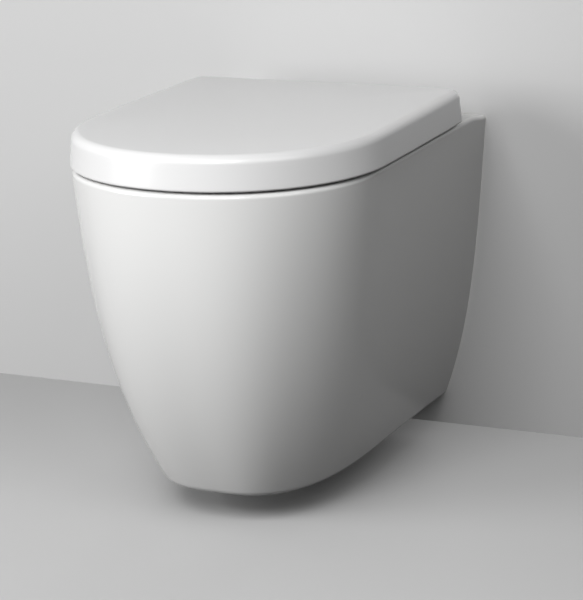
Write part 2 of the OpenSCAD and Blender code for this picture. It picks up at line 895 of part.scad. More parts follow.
// Plastic bush in the lug that turns on a plain pin
module hinge_bush(x) {
    outer = x - block_half - side_gap;
    color("whitesmoke")
    difference() {
        on_hinge_axis(outer - lug_reach, outer, bush_r);
        on_hinge_axis(outer - lug_reach - eps, outer + eps, pin_r + running_gap);
    }
}

module lid_bush() { hinge_bush(hinge_x); }
module seat_bush() { hinge_bush(-hinge_x); }

// Spring wire clip whose legs lie in the groove of the post
module latch_clip(x) {
    wire = clip_wire_d / 2;
    color("silver")
    translate([x, 0, clip_z]) {
        translate([0, clip_bend_y, 0]) rotate([0, 0, 180])
            rotate_extrude(angle = 180) translate([clip_leg_x, 0]) circle(wire);
        for (side = [-1, 1]) {
            lean = atan2(side * (clip_tip_x - clip_leg_x), clip_tip_y - clip_end_y);
            reach = norm([clip_tip_x - clip_leg_x, clip_tip_y - clip_end_y]);
            translate([side * clip_leg_x, clip_bend_y, 0]) rotate([-90, 0, 0])
                cylinder(h = clip_end_y - clip_bend_y, r = wire);
            translate([side * clip_leg_x, clip_end_y, 0]) {
                sphere(wire);
                rotate([-90, 0, -lean]) cylinder(h = reach, r = wire);
            }
        }
    }
}

module latch_clip_left() { latch_clip(-hinge_x); }
module latch_clip_right() { latch_clip(hinge_x); }

// Push button with two prongs that spread the clip
module release_button(x) {
    inner = post_d / 2 + side_gap;
    outer = button_width / 2;
    color("gainsboro")
    union() {
        block(
            [x - outer, prong_tip_y + button_stop, button_z],
            [x + outer, button_back_y, button_z + button_height]
        );
        for (side = [-1, 1])
            translate([x + side * (inner + outer) / 2 - (outer - inner) / 2, prong_tip_y, button_z])
                cube([outer - inner, button_stop + eps, button_height]);
    }
}

module release_button_left() { release_button(-hinge_x); }
module release_button_right() { release_button(hinge_x); }

// Outline of the lid drawn in by an inset, without the back corners' round where corner is 0
function lid_outline(inset, back, corner) =
    d_outline(
        lid_width / 2 - lid_narrowing - inset, lid_width / 2 - inset, lid_projection - inset,
        lid_front_depth - inset * 0.9, lid_power, back, corner
    );

// Inset of the lid's sides at a height, from their draft
function lid_lean(z) = lid_draft * (z - lid_z) / lid_height;

// Bore for a damper's shaft or a bush, in the lug that lies beside a hinge block
module lug_bore(x, damped) {
    if (damped) {
        lug = x + block_half + side_gap;
        intersection() {
            on_hinge_axis(lug - eps, lug + lug_reach + lug_end_gap, shaft_d / 2 + running_gap);
            translate([lug - eps, hinge_y - shaft_flats / 2 - running_gap, hinge_z - shaft_d])
                cube([lug_reach + eps + lug_end_gap, shaft_flats + 2 * running_gap, 2 * shaft_d]);
        }
    } else {
        lug = x - block_half - side_gap;
        on_hinge_axis(lug - lug_reach - lug_end_gap, lug + eps, bush_r + running_gap);
    }
}

// Lugs on both sides, each starting at a distance from the mid-plane
module lug_pair(start, r) {
    for (side = [-1, 1]) {
        x0 = side > 0 ? start : -start - lug_width;
        on_hinge_axis(x0, x0 + lug_width, r);
        translate([x0, 0, 0]) children();
    }
}

module seat_ring() {
    upper = edge_levels(seat_top_z, seat_round, 1);
    lower = edge_levels(seat_z, seat_lower_round, -1);
    rows = concat(upper, [for (i = [round_steps:-1:0]) lower[i]]);
    arm_top_z = seat_top_z - 1;
    color("white")
    difference() {
        union() {
            loft([
                for (row = rows) [row[0], lid_outline(seat_inset + row[1], -seat_back - row[1], seat_corner)]
            ]);
            lug_pair(hinge_x + block_half + side_gap, seat_lug_r) {
                block([0, -seat_back - seat_round, hinge_z - seat_arm_half], [lug_width, hinge_y, arm_top_z]);
                block([0, -seat_back - seat_arm_root, seat_z + seat_lower_round],
                    [lug_width, -seat_back + merge, arm_top_z]);
            }
        }
        loft([
            for (row = seat_hole_profile)
                [
                    seat_top_z - row[0],
                    oval(
                        seat_hole_half - row[1], seat_hole_front - row[1],
                        seat_hole_back + row[1], seat_hole_power, bowl_steps
                    )
                ]
        ]);
        lug_bore(hinge_x, true);
        lug_bore(-hinge_x, false);
    }
}

// Half width of the seat's edge, of its hole and of the line midway, at a distance from the wall
function superellipse_half(half, share, power) = half * pow(1 - pow(share, power), 1 / power);
function seat_edge_at(place) =
    let (start = lid_projection - lid_front_depth, share = max(place - start, 0) / lid_front_depth)
    superellipse_half(lid_width / 2, share, lid_power) - seat_inset;
function seat_hole_at(place) =
    let (mid = (seat_hole_front + seat_hole_back) / 2, reach = (seat_hole_front - seat_hole_back) / 2)
    superellipse_half(seat_hole_half, abs(place - mid) / reach, seat_hole_power);
function seat_mid_at(place) = (seat_edge_at(place) + seat_hole_at(place)) / 2;

// Rubber bumpers under the seat, turned along the ring, two in front and two behind
module seat_bumpers() {
    straight = bumper_length - bumper_width;
    color("lightgray")
    for (side = [-1, 1], place = [rear_bumper_place, front_bumper_place]) {
        turn = atan2(seat_mid_at(place - straight) - seat_mid_at(place + straight), 2 * straight);
        translate([side * seat_mid_at(place), -place, rim_z + rest_gap])
            rotate([0, 0, side * turn])
                linear_extrude(seat_gap - rest_gap) {
                    square([bumper_width, straight], center = true);
                    for (end = [-1, 1]) translate([0, end * straight / 2]) circle(bumper_width / 2);
                }
    }
}

module lid() {
    upper = edge_levels(lid_top_z, lid_round, 1);
    lower = edge_levels(lid_z, lid_lower_round, -1);
    rows = concat(lid_crown_rows, upper, [for (i = [round_steps:-1:0]) lower[i]]);
    hollow = [[lid_ceiling_z, lid_inner_round], [lid_ceiling_z - lid_inner_round, 0], [lid_z - eps, 0]];
    open_half = lid_width / 2 - lid_narrowing - lid_corner - lid_back_return;
    color("white")
    difference() {
        union() {
            difference() {
                loft([
                    for (row = rows)
                        let (corner = lid_corner - min(row[1], lid_round))
                            [row[0], lid_outline(row[1] + lid_lean(row[0]), -lid_back - row[1], corner)]
                ]);
                loft([
                    for (row = hollow)
                        let (inset = lid_wall + row[1], corner = lid_corner - lid_wall)
                            [row[0], lid_outline(inset + lid_lean(row[0]), -lid_back - inset, corner)]
                ]);
                block(
                    [-open_half, -lid_back - lid_wall - eps, lid_z - eps],
                    [open_half, -lid_back + eps, lid_ceiling_z - lid_lip]
                );
            }
            lug_pair(hinge_x - block_half - side_gap - lug_width, lid_lug_r)
                block([0, hinge_y - lid_lug_r, hinge_z], [lug_width, hinge_y + lid_neck, lid_ceiling_z + 1]);
        }
        lug_bore(-hinge_x, true);
        lug_bore(hinge_x, false);
    }
}

// Round bumpers under the lid that land on the seat
module lid_bumpers() {
    color("lightgray")
    for (side = [-1, 1], place = [rear_lid_bumper_place, front_lid_bumper_place])
        upright(side * seat_mid_at(place), -place, seat_top_z + rest_gap, lid_ceiling_z, lid_bumper_d / 2);
}

pan();
bracket_left();
bracket_right();
bracket_inserts();
clamp_washers();
clamp_screws();
deck_bush_left();
deck_bush_right();
bush_nuts();
base_gaskets();
hinge_base_left();
hinge_base_right();
hinge_post_left();
hinge_post_right();
hinge_block_left();
hinge_block_right();
seat_damper();
lid_damper();
seat_hinge_pin();
lid_hinge_pin();
latch_clip_left();
latch_clip_right();
release_button_left();
release_button_right();
seat_ring();
seat_bumpers();
seat_damper_shaft();
seat_bush();
lid();
lid_bumpers();
lid_damper_shaft();
lid_bush();
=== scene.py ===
"""Wall hung toilet: glazed pan, wrap-over lid, seat, hinges and wall brackets around a fixed frame."""

import json
import math

import bmesh
import bpy
import numpy as np
from mathutils import Matrix, Vector

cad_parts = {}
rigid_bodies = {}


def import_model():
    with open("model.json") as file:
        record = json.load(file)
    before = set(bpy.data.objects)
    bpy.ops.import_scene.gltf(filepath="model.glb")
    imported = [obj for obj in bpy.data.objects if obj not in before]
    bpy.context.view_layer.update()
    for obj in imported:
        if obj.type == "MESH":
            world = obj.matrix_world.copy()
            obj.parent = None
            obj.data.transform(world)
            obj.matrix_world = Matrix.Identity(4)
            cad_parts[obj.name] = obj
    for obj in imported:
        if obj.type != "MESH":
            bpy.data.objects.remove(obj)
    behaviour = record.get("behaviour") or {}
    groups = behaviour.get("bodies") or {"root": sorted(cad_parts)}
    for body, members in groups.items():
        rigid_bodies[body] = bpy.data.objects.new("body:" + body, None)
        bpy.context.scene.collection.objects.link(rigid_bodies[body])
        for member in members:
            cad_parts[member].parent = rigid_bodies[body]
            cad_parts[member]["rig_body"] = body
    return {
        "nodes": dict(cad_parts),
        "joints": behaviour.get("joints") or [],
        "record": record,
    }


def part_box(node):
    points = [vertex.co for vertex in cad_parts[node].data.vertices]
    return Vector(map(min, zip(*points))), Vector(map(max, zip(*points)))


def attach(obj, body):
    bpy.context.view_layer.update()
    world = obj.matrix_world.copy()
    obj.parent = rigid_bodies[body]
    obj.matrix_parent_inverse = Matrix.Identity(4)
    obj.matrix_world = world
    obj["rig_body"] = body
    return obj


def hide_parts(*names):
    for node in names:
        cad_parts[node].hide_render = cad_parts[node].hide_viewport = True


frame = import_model()

bl_info = {
    "name": "Wall Hung Toilet",
    "version": (1, 0, 0),
    "blender": (4, 5, 0),
    "location": "View3D > Sidebar > Toilet",
    "description": "Builds a wall hung toilet around its construction frame",
    "category": "Object",
}

MM = 0.001
QUARTER = math.pi / 2

# Places that the frame gives
PAN_LOW, PAN_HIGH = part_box("pan")
LID_LOW, LID_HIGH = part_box("lid")
SEAT_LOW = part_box("seat_ring")[0]
BLOCK_LOW, BLOCK_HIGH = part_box("hinge_block_right")
POST_LOW, POST_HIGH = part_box("hinge_post_right")
WASHERS_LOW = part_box("clamp_washers")[0]
HINGE = Vector(next(j for j in frame["joints"] if j["name"] == "seat_hinge")["pos_m"])
POST_X = (POST_LOW.x + POST_HIGH.x) / 2
POST_Y = (POST_LOW.y + POST_HIGH.y) / 2

# Points round an outline, a hollow, a bar, and a tube or pad
AROUND = 224
HOLLOW_AROUND = 128
BAR_AROUND = 96
SMALL_AROUND = 48

# Rows over a round, and over the parts of the pan and of the seat
ROUND_ROWS = 9
FLANK_ROWS = 44
DECK_ROWS = 26
BOWL_ROWS = 76
BOWL_OUTSIDE_ROWS = 50
HOLLOW_ROWS = 24
CLIMB_ROWS = 25
FALL_ROWS = 15
SEAT_TOP_ROWS = 8
SEAT_UNDER_ROWS = 6

# Run of a cut past the face that it opens, and of solids that grow together
OVERRUN = 0.5 * MM
MERGE = 2 * MM

# Gap between a hinge block and a lug, and play and end gap of a lug's bore
LUG_GAP = 0.4 * MM
BORE_PLAY = 0.05 * MM
BORE_END = 0.2 * MM

# Half of a damper shaft's width over its flats, and a round so small that it looks sharp
HALF_FLATS = 3 * MM
SHARP = 0.05 * MM

# Faces whose middle lies beyond this Y stand against the wall
AT_WALL = -1e-5

# Where a flank and a back corner end, as shares of a quarter turn
FLANK_END, CORNER_END = 0.62, 0.72

# Part of an inset by which the depth of a rounded front shrinks
DEPTH_LOSS = 0.9

# Half width of floor and wall, top of the wall, its gap behind the object, and where both fade
STAGE_REACH = 6.0
WALL_TOP = 5.0
WALL_GAP = 1 * MM
FADE_START, FADE_END = 1.1, 2.6


def round_mount(name):
    """Height and radius of a round mount, and its inner end and its mouth along Y."""
    mount = next(m for m in frame["record"]["mounts"] if m["name"] == name)
    y, half = mount["pos_m"][1], mount["dims"]["length_mm"] * MM / 2
    return mount["pos_m"][2], mount["dims"]["r_mm"] * MM, y - half, y + half


SPIGOT_Z, SPIGOT_R, SPIGOT_START, SPIGOT_MOUTH = round_mount("waste_outlet")
INLET_Z, INLET_R, INLET_START, INLET_MOUTH = round_mount("flush_inlet")


def length_value(name, description, millimetres):
    """Property for a length."""
    return bpy.props.FloatProperty(
        name=name, description=description, default=millimetres * MM, unit="LENGTH"
    )


def plain_value(name, description, value, lowest=0.0):
    """Property for a plain number."""
    return bpy.props.FloatProperty(name=name, description=description, default=value, min=lowest)


def angle_value(name, description, degrees):
    """Property for an angle."""
    return bpy.props.FloatProperty(
        name=name, description=description, default=math.radians(degrees), unit="ROTATION"
    )


def power_value(name, description, watts):
    """Property for the power of a lamp."""
    return bpy.props.FloatProperty(name=name, description=description, default=watts, unit="POWER")


def colour_value(name, description, value):
    """Property for a colour."""
    return bpy.props.FloatVectorProperty(name=name, description=description, default=value, subtype="COLOR")


def place_value(name, description, value):
    """Property for a place."""
    return bpy.props.FloatVectorProperty(
        name=name, description=description, default=value, subtype="TRANSLATION"
    )


class PanProperties(bpy.types.PropertyGroup):
    """Sizes of the ceramic pan."""

    half_width: length_value("Half width", "Half of the pan's width at the wall", 174.5)
    front_depth: length_value("Front depth", "Depth of the rounded front at the rim", 159)
    front_growth: length_value("Front growth", "Extra depth of the front at the foot", 64)
    power: plain_value("Squareness", "Power of the rounded front at the rim", 2.12, 2.0)
    power_growth: plain_value("Squareness growth", "Extra power of the front at the foot", 0.8)
    lean: length_value("Lean", "Straight lean of a flank from rim to foot", 31.6)
    tuck: length_value("Tuck", "Curved tuck of a flank from rim to foot", 28.4)
    tuck_curve: plain_value("Tuck curve", "Power of the curve of the flanks", 3.75, 1.0)
    front_tuck: length_value("Front tuck", "Tuck of the front from rim to foot", 87)
    front_curve: plain_value("Front curve", "Power of the curve of the front", 2.35, 1.0)
    rim_spread: length_value("Rim spread", "Spread of each flank to the front, at the rim", 0.4)
    spread_loss: length_value("Spread loss", "Loss of that spread down to the foot", 4.6)
    rim_round: length_value("Rim round", "Round along the upper edge", 5.5)
    foot_round: length_value("Foot round", "Round along the lower edge", 8)
    wall_round: length_value("Wall round", "Round of the upright edges at the wall", 1.2)
    deck_fall: length_value("Deck fall", "Fall of the deck down to the wall", 6)
    fall_length: length_value("Fall length", "Distance from the wall where that fall starts", 50)
    shroud_wall: length_value("Shroud wall", "Wall of the shroud, and of the deck", 12)
    lip_round: length_value("Lip round", "Round where the rim turns into the bowl", 5)
    bowl_half: length_value("Bowl half width", "Half of the bowl's width at the rim", 119)
    bowl_front: length_value("Bowl front", "Distance of the bowl's front from the wall", 449)
    bowl_back: length_value("Bowl back", "Distance of the bowl's back from the wall", 130)
    bowl_power: plain_value("Bowl squareness", "Power of the bowl's oval", 2.3, 2.0)
    bowl_wall: length_value("Bowl wall", "Thickness of the bowl's wall", 10)
    trap_wall: length_value("Trap wall", "Thickness of the trap's wall", 8)
    trap_radius: length_value("Trap radius", "Radius of the trap's bore", 28)
    water_seal: length_value("Water seal", "Depth of the water seal", 54)
    duct_half: length_value("Duct half width", "Half of the width of the flush duct", 35)
    duct_height: length_value("Duct height", "Height of the flush duct, under the deck", 18)
    duct_wall: length_value("Duct wall", "Wall of the flush duct", 9)
    chamber_half: length_value(
        "Chamber half width", "Half of the width of the chamber behind the flush inlet", 24
    )
    chamber_length: length_value("Chamber length", "Length of that chamber", 26)
    chamber_drop: length_value("Chamber drop", "Depth of that chamber below the inlet's axis", 18)
    inlet_wall: length_value("Inlet wall", "Wall round the flush inlet", 11)
    ledge_thickness: length_value("Ledge thickness", "Thickness of the ledges on the brackets", 12)
    ledge_front: length_value("Ledge front", "Distance of a ledge's front from the wall", 120)
    ledge_back: length_value("Ledge back", "Distance of a ledge's back from the wall", 52)
    ledge_web: length_value("Ledge web", "Thickness of the web between a ledge and the deck", 9)
    hinge_hole: length_value("Hinge hole", "Radius of a hole for the seat's fixing", 7.5)
    clamp_hole: length_value("Clamp hole", "Radius of a hole for a clamp screw", 5)


class LidProperties(bpy.types.PropertyGroup):
    """Sizes of the lid and of the seat under it."""

    front_depth: length_value("Front depth", "Depth of the rounded front", 172)
    power: plain_value("Squareness", "Power of the rounded front", 2.08, 2.0)
    narrowing: length_value("Narrowing", "Narrowing of each side towards the back", 2.6)
    draft: plain_value("Draft", "Inward lean of the sides, for each unit of height", 4 / 38)
    crown: length_value("Crown", "Rise of the top above its edge", 1.2)
    crown_inset: length_value("Crown inset", "Distance over which the top rises", 90)
    upper_round: length_value("Upper round", "Round along the upper edge", 9.4)
    lower_round: length_value("Lower round", "Round along the lower edge", 2.5)
    corner: length_value("Corner", "Round of the back corners", 20)
    wall: length_value("Wall", "Thickness of the shell", 4.5)
    inner_round: length_value("Inner round", "Round inside the shell, under its top", 3)
    back_return: length_value("Back return", "Width of the back wall beside its opening", 25)
    lug_width: length_value("Lug width", "Width of a hinge lug", 16.6)
    lug_radius: length_value("Lid lug radius", "Radius of a lug of the lid", 9)
    seat_lug_radius: length_value("Seat lug radius", "Radius of a lug of the seat", 10.5)
    seat_thickness: length_value("Seat thickness", "Thickness of the seat", 21)
    seat_back: length_value("Seat back", "Distance of the seat's back from the wall", 118)
    arm_half: length_value("Arm half height", "Depth of a seat's arm below the hinge axis", 8)
    arm_root: length_value("Arm root", "Length over which an arm grows out of the seat", 14)
    seat_inset: length_value("Seat inset", "Distance from the lid's edge to the seat's", 8.5)
    seat_round: length_value("Seat round", "Round along the seat's upper edge", 6)
    seat_lower_round: length_value("Seat lower round", "Round along the seat's lower edge", 3)
    seat_corner: length_value("Seat corner", "Round of the seat's back corners", 12)
    hole_half: length_value("Hole half width", "Half of the width of the seat's hole", 111)
    hole_front: length_value("Hole front", "Distance of the hole's front from the wall", 441.5)
    hole_back: length_value("Hole back", "Distance of the hole's back from the wall", 172)
    hole_power: plain_value("Hole squareness", "Power of the hole's oval", 2.5, 2.0)


class FinishProperties(bpy.types.PropertyGroup):
    """Colours of the finishes."""

    glaze: colour_value("Glaze", "Colour of the glazed ceramic", (0.86, 0.86, 0.855))
    biscuit: colour_value("Biscuit", "Colour of the ceramic left bare", (0.72, 0.68, 0.61))
    duroplast: colour_value("Duroplast", "Colour of seat and lid", (0.86, 0.86, 0.86))
    nylon: colour_value("Nylon", "Colour of the wall brackets", (0.06, 0.06, 0.065))
    rubber: colour_value("Rubber", "Colour of bushes and gaskets", (0.03, 0.03, 0.03))
    bumper: colour_value("Bumper", "Colour of the soft bumpers", (0.62, 0.63, 0.63))
    button: colour_value("Button", "Colour of the release buttons", (0.62, 0.62, 0.63))


class StageProperties(bpy.types.PropertyGroup):
    """Floor, wall, lamps and camera."""

    rim_above_floor: length_value("Rim above floor", "Height of the rim above the floor", 400)
    floor: colour_value("Floor", "Colour of the floor", (0.62, 0.62, 0.62))
    wall: colour_value("Wall", "Colour of the wall", (0.66, 0.66, 0.66))
    key_power: power_value("Key lamp", "Power of the lamp above the front", 39.0)
    left_power: power_value("Left lamp", "Power of the low lamp at the front left", 38.5)
    right_power: power_value("Right lamp", "Power of the weak lamp at the front right", 12.0)
    back_power: power_value("Back lamp", "Power of the lamp behind, which lights the wall side alone", 25.0)
    lamp_size: length_value("Lamp size", "Width and height of every lamp", 1300)
    lamp_distance: length_value("Lamp distance", "Distance of every lamp from the object", 2600)
    sky: plain_value("Sky", "Strength of the even light all round", 0.04)
    distance_seen: plain_value(
        "Distance", "How pale the space beyond floor and wall looks, to eyes and mirrors alone", 0.5
    )
    lamp_aim: place_value("Lamp aim", "Point that every lamp faces", (0, -0.25, -0.05))
    camera_place: place_value("Camera place", "Where the camera stands", (1.12547, -2.57489, 0.63002))
    camera_azimuth: angle_value("Camera azimuth", "Turn of the view from straight ahead", 25.29759)
    camera_down: angle_value("Camera dip", "Dip of the view below level", 15.84565)
    camera_roll: angle_value("Camera roll", "Roll of the view", -2.17841)
    lens: plain_value("Lens", "Focal length on a 36 mm frame, in millimetres", 140.15, 1.0)


def ease(share):
    """Share of a smooth rise that starts and ends level."""
    return (1 - np.cos(np.pi * share)) / 2


def round_steps(radius):
    """Rows of a round between two faces: each row's distance from the second face, and from the first."""
    turns = np.linspace(0, QUARTER, ROUND_ROWS + 1)
    return [(radius * (1 - math.sin(a)), radius * (1 - math.cos(a))) for a in turns]


def rows_between(first, last, count):
    """Evenly spaced rows from one row to another, without these two."""
    return [first + (last - first) * share for share in np.linspace(0, 1, count)[1:-1]]


def d_outline(half_back, half_front, projection, depth, power, back, corner, count=AROUND):
    """Outline from the right round the front: rounded front, nearly straight flanks and straight back."""
    turn = 2 * np.pi * np.arange(count) / count
    side = np.sign(np.round(np.cos(turn), 9))
    cosine, sine = np.abs(np.cos(turn)), np.abs(np.sin(turn))
    start = -(projection - depth)
    front_x = half_front * cosine ** (2 / power)
    front_y = start - depth * sine ** (2 / power)
    run = np.arcsin(np.clip(sine, 0, 1)) / QUARTER
    u = 1 - np.clip(run / FLANK_END, 0, 1)
    bend = np.clip((run - FLANK_END) / (CORNER_END - FLANK_END), 0, 1) * QUARTER
    inward = np.clip((run - CORNER_END) / (1 - CORNER_END), 0, 1)
    flank_x = half_back + (half_front - half_back) * (1 - (1 - u) ** 2)
    flank_y = back - corner + (start - back + corner) * u
    back_x = (flank_x - corner * (1 - np.cos(bend))) * (1 - inward)
    back_y = flank_y + corner * np.sin(bend)
    front = np.sin(turn) > -1e-9
    return np.column_stack([side * np.where(front, front_x, back_x), np.where(front, front_y, back_y)])


def oval(half, front, back, power, count=AROUND):
    """Oval between a front and a back distance from the wall, from the right round the front."""
    turn = 2 * np.pi * np.arange(count) / count
    cosine, sine = np.cos(turn), np.sin(turn)
    return np.column_stack([
        np.sign(cosine) * np.abs(cosine) ** (2 / power) * half,
        -(front + back) / 2 - np.sign(sine) * np.abs(sine) ** (2 / power) * (front - back) / 2,
    ])


def at_level(outline, z):
    """An outline as points at one height."""
    return np.column_stack([outline, np.full(len(outline), z)])


def new_object(name, data):
    """Object in the scene with this mesh, lamp or camera."""
    made = bpy.data.objects.new(name, data)
    bpy.context.scene.collection.objects.link(made)
    return made


def new_piece(name, points, faces, material):
    """Object with a closed mesh whose faces point outwards."""
    mesh = bpy.data.meshes.new(name)
    mesh.from_pydata([tuple(p) for p in points], [], faces)
    work = bmesh.new()
    work.from_mesh(mesh)
    bmesh.ops.remove_doubles(work, verts=work.verts, dist=1e-6)
    bmesh.ops.recalc_face_normals(work, faces=work.faces)
    work.to_mesh(mesh)
    work.free()
    mesh.shade_smooth()
    mesh.materials.append(material)
    return new_object(name, mesh)


def loft(name, rows, material, ring=False):
    """Solid through rows of points: capped at both ends, or closed on itself as a ring."""
    count, last = len(rows[0]), len(rows) - 1
    faces = []
    for k in range(last + ring):
        low, high = k * count, (k + 1) % len(rows) * count
        for i in range(count):
            j = (i + 1) % count
            faces.append((low + i, low + j, high + j, high + i))
    if not ring:
        faces.append(tuple(range(count)))
        faces.append(tuple(last * count + i for i in range(count)))
    return new_piece(name, np.vstack(rows), faces, material)


def box_solid(low, high, material):
    """Box from its lowest to its highest corner."""
    corners = [(x, y, z) for z in (low[2], high[2]) for y in (low[1], high[1]) for x in (low[0], high[0])]
    faces = [(0, 1, 3, 2), (4, 5, 7, 6), (0, 1, 5, 4), (2, 3, 7, 6), (0, 2, 6, 4), (1, 3, 7, 5)]
    return new_piece("box", corners, faces, material)


def round_bar(start, end, radius, material):
    """Straight round bar between two points."""
    start, end = Vector(start), Vector(end)
    turn = (end - start).to_track_quat("Z", "Y").to_matrix()
    angles = np.linspace(0, 2 * np.pi, BAR_AROUND, endpoint=False)
    ring = [turn @ Vector((math.cos(a), math.sin(a), 0)) * radius for a in angles]
    return loft("bar", [np.array([c + p for p in ring]) for c in (start, end)], material)


def swept_tube(stations, material):
    """Tube in the plane x = 0 through stations of y, z and radius."""
    stations = np.array(stations)
    heading = np.gradient(stations[:, :2], axis=0)
    heading /= np.linalg.norm(heading, axis=1)[:, None]
    turn = np.linspace(0, 2 * np.pi, SMALL_AROUND, endpoint=False)
    rows = [
        np.column_stack([r * np.cos(turn), y - r * np.sin(turn) * rise, z + r * np.sin(turn) * run])
        for (y, z, r), (run, rise) in zip(stations, heading)
    ]
    return loft("tube", rows, material)


def settle(piece):
    """Turn a piece's modifiers into plain mesh."""
    evaluated = piece.evaluated_get(bpy.context.evaluated_depsgraph_get())
    mesh = bpy.data.meshes.new_from_object(evaluated)
    old = piece.data
    piece.modifiers.clear()
    piece.data = mesh
    mesh.name = piece.name
    if not old.users:
        bpy.data.meshes.remove(old)


def combine(piece, tool, operation):
    """Join a tool to a piece, or cut it away, and drop the tool."""
    modifier = piece.modifiers.new("combine", "BOOLEAN")
    modifier.operation = operation
    modifier.solver = "MANIFOLD"
    modifier.material_mode = "TRANSFER"
    modifier.object = tool
    settle(piece)
    mesh = tool.data
    bpy.data.objects.remove(tool)
    bpy.data.meshes.remove(mesh)


def cut(piece, *tools):
    """Cut tools away from a piece."""
    for tool in tools:
        combine(piece, tool, "DIFFERENCE")


def join(piece, *tools):
    """Join tools to a piece."""
    for tool in tools:
        combine(piece, tool, "UNION")


def finish_edges(piece):
    """Smooth shading with crisp edges, and level faces that stay level."""
    piece.data.shade_smooth()
    piece.data.set_sharp_from_angle(angle=math.radians(35))
    modifier = piece.modifiers.new("level shading", "WEIGHTED_NORMAL")
    modifier.keep_sharp = True
    modifier.weight = 70


def stand_for(piece, body, slot, *nodes):
    """Set a finished piece on its body, in place of construction nodes."""
    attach(piece, body)
    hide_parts(*nodes)


class Signal:
    """A number on its way through a node tree, with the usual arithmetic."""

    def __init__(self, tree, socket):
        self.tree = tree
        self.socket = socket

    def apply(self, operation, *others, clamp=False):
        """Put this number and others through one Math node."""
        return calculate(self.tree, operation, self, *others, clamp=clamp)

    def __add__(self, other):
        return self.apply("ADD", other)

    __radd__ = __add__

    def __sub__(self, other):
        return self.apply("SUBTRACT", other)

    def __rsub__(self, other):
        return calculate(self.tree, "SUBTRACT", other, self)

    def __mul__(self, other):
        return self.apply("MULTIPLY", other)

    __rmul__ = __mul__

    def __truediv__(self, other):
        return self.apply("DIVIDE", other)

    def __rtruediv__(self, other):
        return calculate(self.tree, "DIVIDE", other, self)

    def __pow__(self, other):
        return self.apply("POWER", other)

    def share(self):
        """This number held between 0 and 1."""
        return self.apply("ADD", 0.0, clamp=True)


def feed(tree, value, socket):
    """Link a signal to a socket, or set the socket to a plain value."""
    if isinstance(value, Signal):
        tree.links.new(value.socket, socket)
    else:
        socket.default_value = value


def calculate(tree, operation, *values, clamp=False):
    """One Math node with these values."""
    node = tree.nodes.new("ShaderNodeMath")
    node.operation = operation
    node.use_clamp = clamp
    for value, socket in zip(values, node.inputs):
        feed(tree, value, socket)
    return Signal(tree, node.outputs[0])


def set_inputs(tree, node, **inputs):
    """Give a node its inputs, whose names have spaces for underscores."""
    for name, value in inputs.items():
        feed(tree, value, node.inputs[name.replace("_", " ")])
    return node


def place_node(tree, kind, settings=None, **inputs):
    """Node of a kind with its settings and its inputs."""
    node = tree.nodes.new(kind)
    for name, value in (settings or {}).items():
        setattr(node, name, value)
    return set_inputs(tree, node, **inputs)


def output(tree, node, name=0):
    """Signal of one output of a node."""
    return Signal(tree, node.outputs[name])


def named_inputs(tree, **kinds):
    """Give a tree inputs, named by kind of socket, and return them as signals."""
    for kind, labels in kinds.items():
        for label in labels:
            tree.interface.new_socket(label, in_out="INPUT", socket_type="NodeSocket" + kind)
    source = tree.nodes.new("NodeGroupInput")
    return {label: output(tree, source, label) for labels in kinds.values() for label in labels}


def new_tree(name, **kinds):
    """Geometry node tree with named inputs and one geometry output. Returns it and its inputs."""
    tree = bpy.data.node_groups.new(name, "GeometryNodeTree")
    tree.interface.new_socket("Geometry", in_out="OUTPUT", socket_type="NodeSocketGeometry")
    return tree, named_inputs(tree, **kinds)


def close_tree(tree, geometry, material):
    """End a tree with real geometry that carries its material."""
    real = place_node(tree, "GeometryNodeRealizeInstances", Geometry=geometry)
    painted = place_node(tree, "GeometryNodeSetMaterial", Geometry=output(tree, real), Material=material)
    place_node(tree, "NodeGroupOutput", Geometry=output(tree, painted))


def grow(name, tree, values, base=None):
    """Piece that a node tree makes from named values, as plain mesh."""
    piece = new_object(name, base or bpy.data.meshes.new(name))
    modifier = piece.modifiers.new(tree.name, "NODES")
    modifier.node_group = tree
    for item in tree.interface.items_tree:
        if item.in_out == "INPUT" and item.name in values:
            modifier[item.identifier] = values[item.name]
    settle(piece)
    return piece


def barrel_rows(tree, around, rows):
    """Closed barrel to be shaped, with x and y round it and the count of each row from below."""
    barrel = place_node(
        tree, "GeometryNodeMeshCylinder", {"fill_type": "NGON"},
        Vertices=around, Side_Segments=rows, Radius=1.0, Depth=2.0,
    )
    split = place_node(
        tree, "ShaderNodeSeparateXYZ", Vector=output(tree, tree.nodes.new("GeometryNodeInputPosition"))
    )
    x, y, z = (output(tree, split, axis) for axis in "XYZ")
    return barrel, x, y, (z + 1) * (rows / 2)


def rounded_side(row, side_rows, bottom, straight, lower_round, upper_round):
    """Height and inset of a row on a side with a straight part between two rounded edges."""
    lower = (row / ROUND_ROWS).share() * QUARTER
    side = ((row - ROUND_ROWS) / side_rows).share()
    upper = ((row - ROUND_ROWS - side_rows) / ROUND_ROWS).share() * QUARTER
    level = (
        bottom + lower_round * (1 - lower.apply("COSINE")) + straight * side
        + upper_round * upper.apply("SINE")
    )
    return level, lower_round * (1 - lower.apply("SINE")) + upper_round * (1 - upper.apply("COSINE"))


def shaped_barrel(tree, barrel, x, y, z):
    """The barrel with its points at new places, shaded smooth."""
    place = place_node(tree, "ShaderNodeCombineXYZ", X=x, Y=y, Z=z)
    shaped = place_node(
        tree, "GeometryNodeSetPosition", Geometry=output(tree, barrel, "Mesh"), Position=output(tree, place)
    )
    return output(tree, place_node(tree, "GeometryNodeSetShadeSmooth", Geometry=output(tree, shaped)))


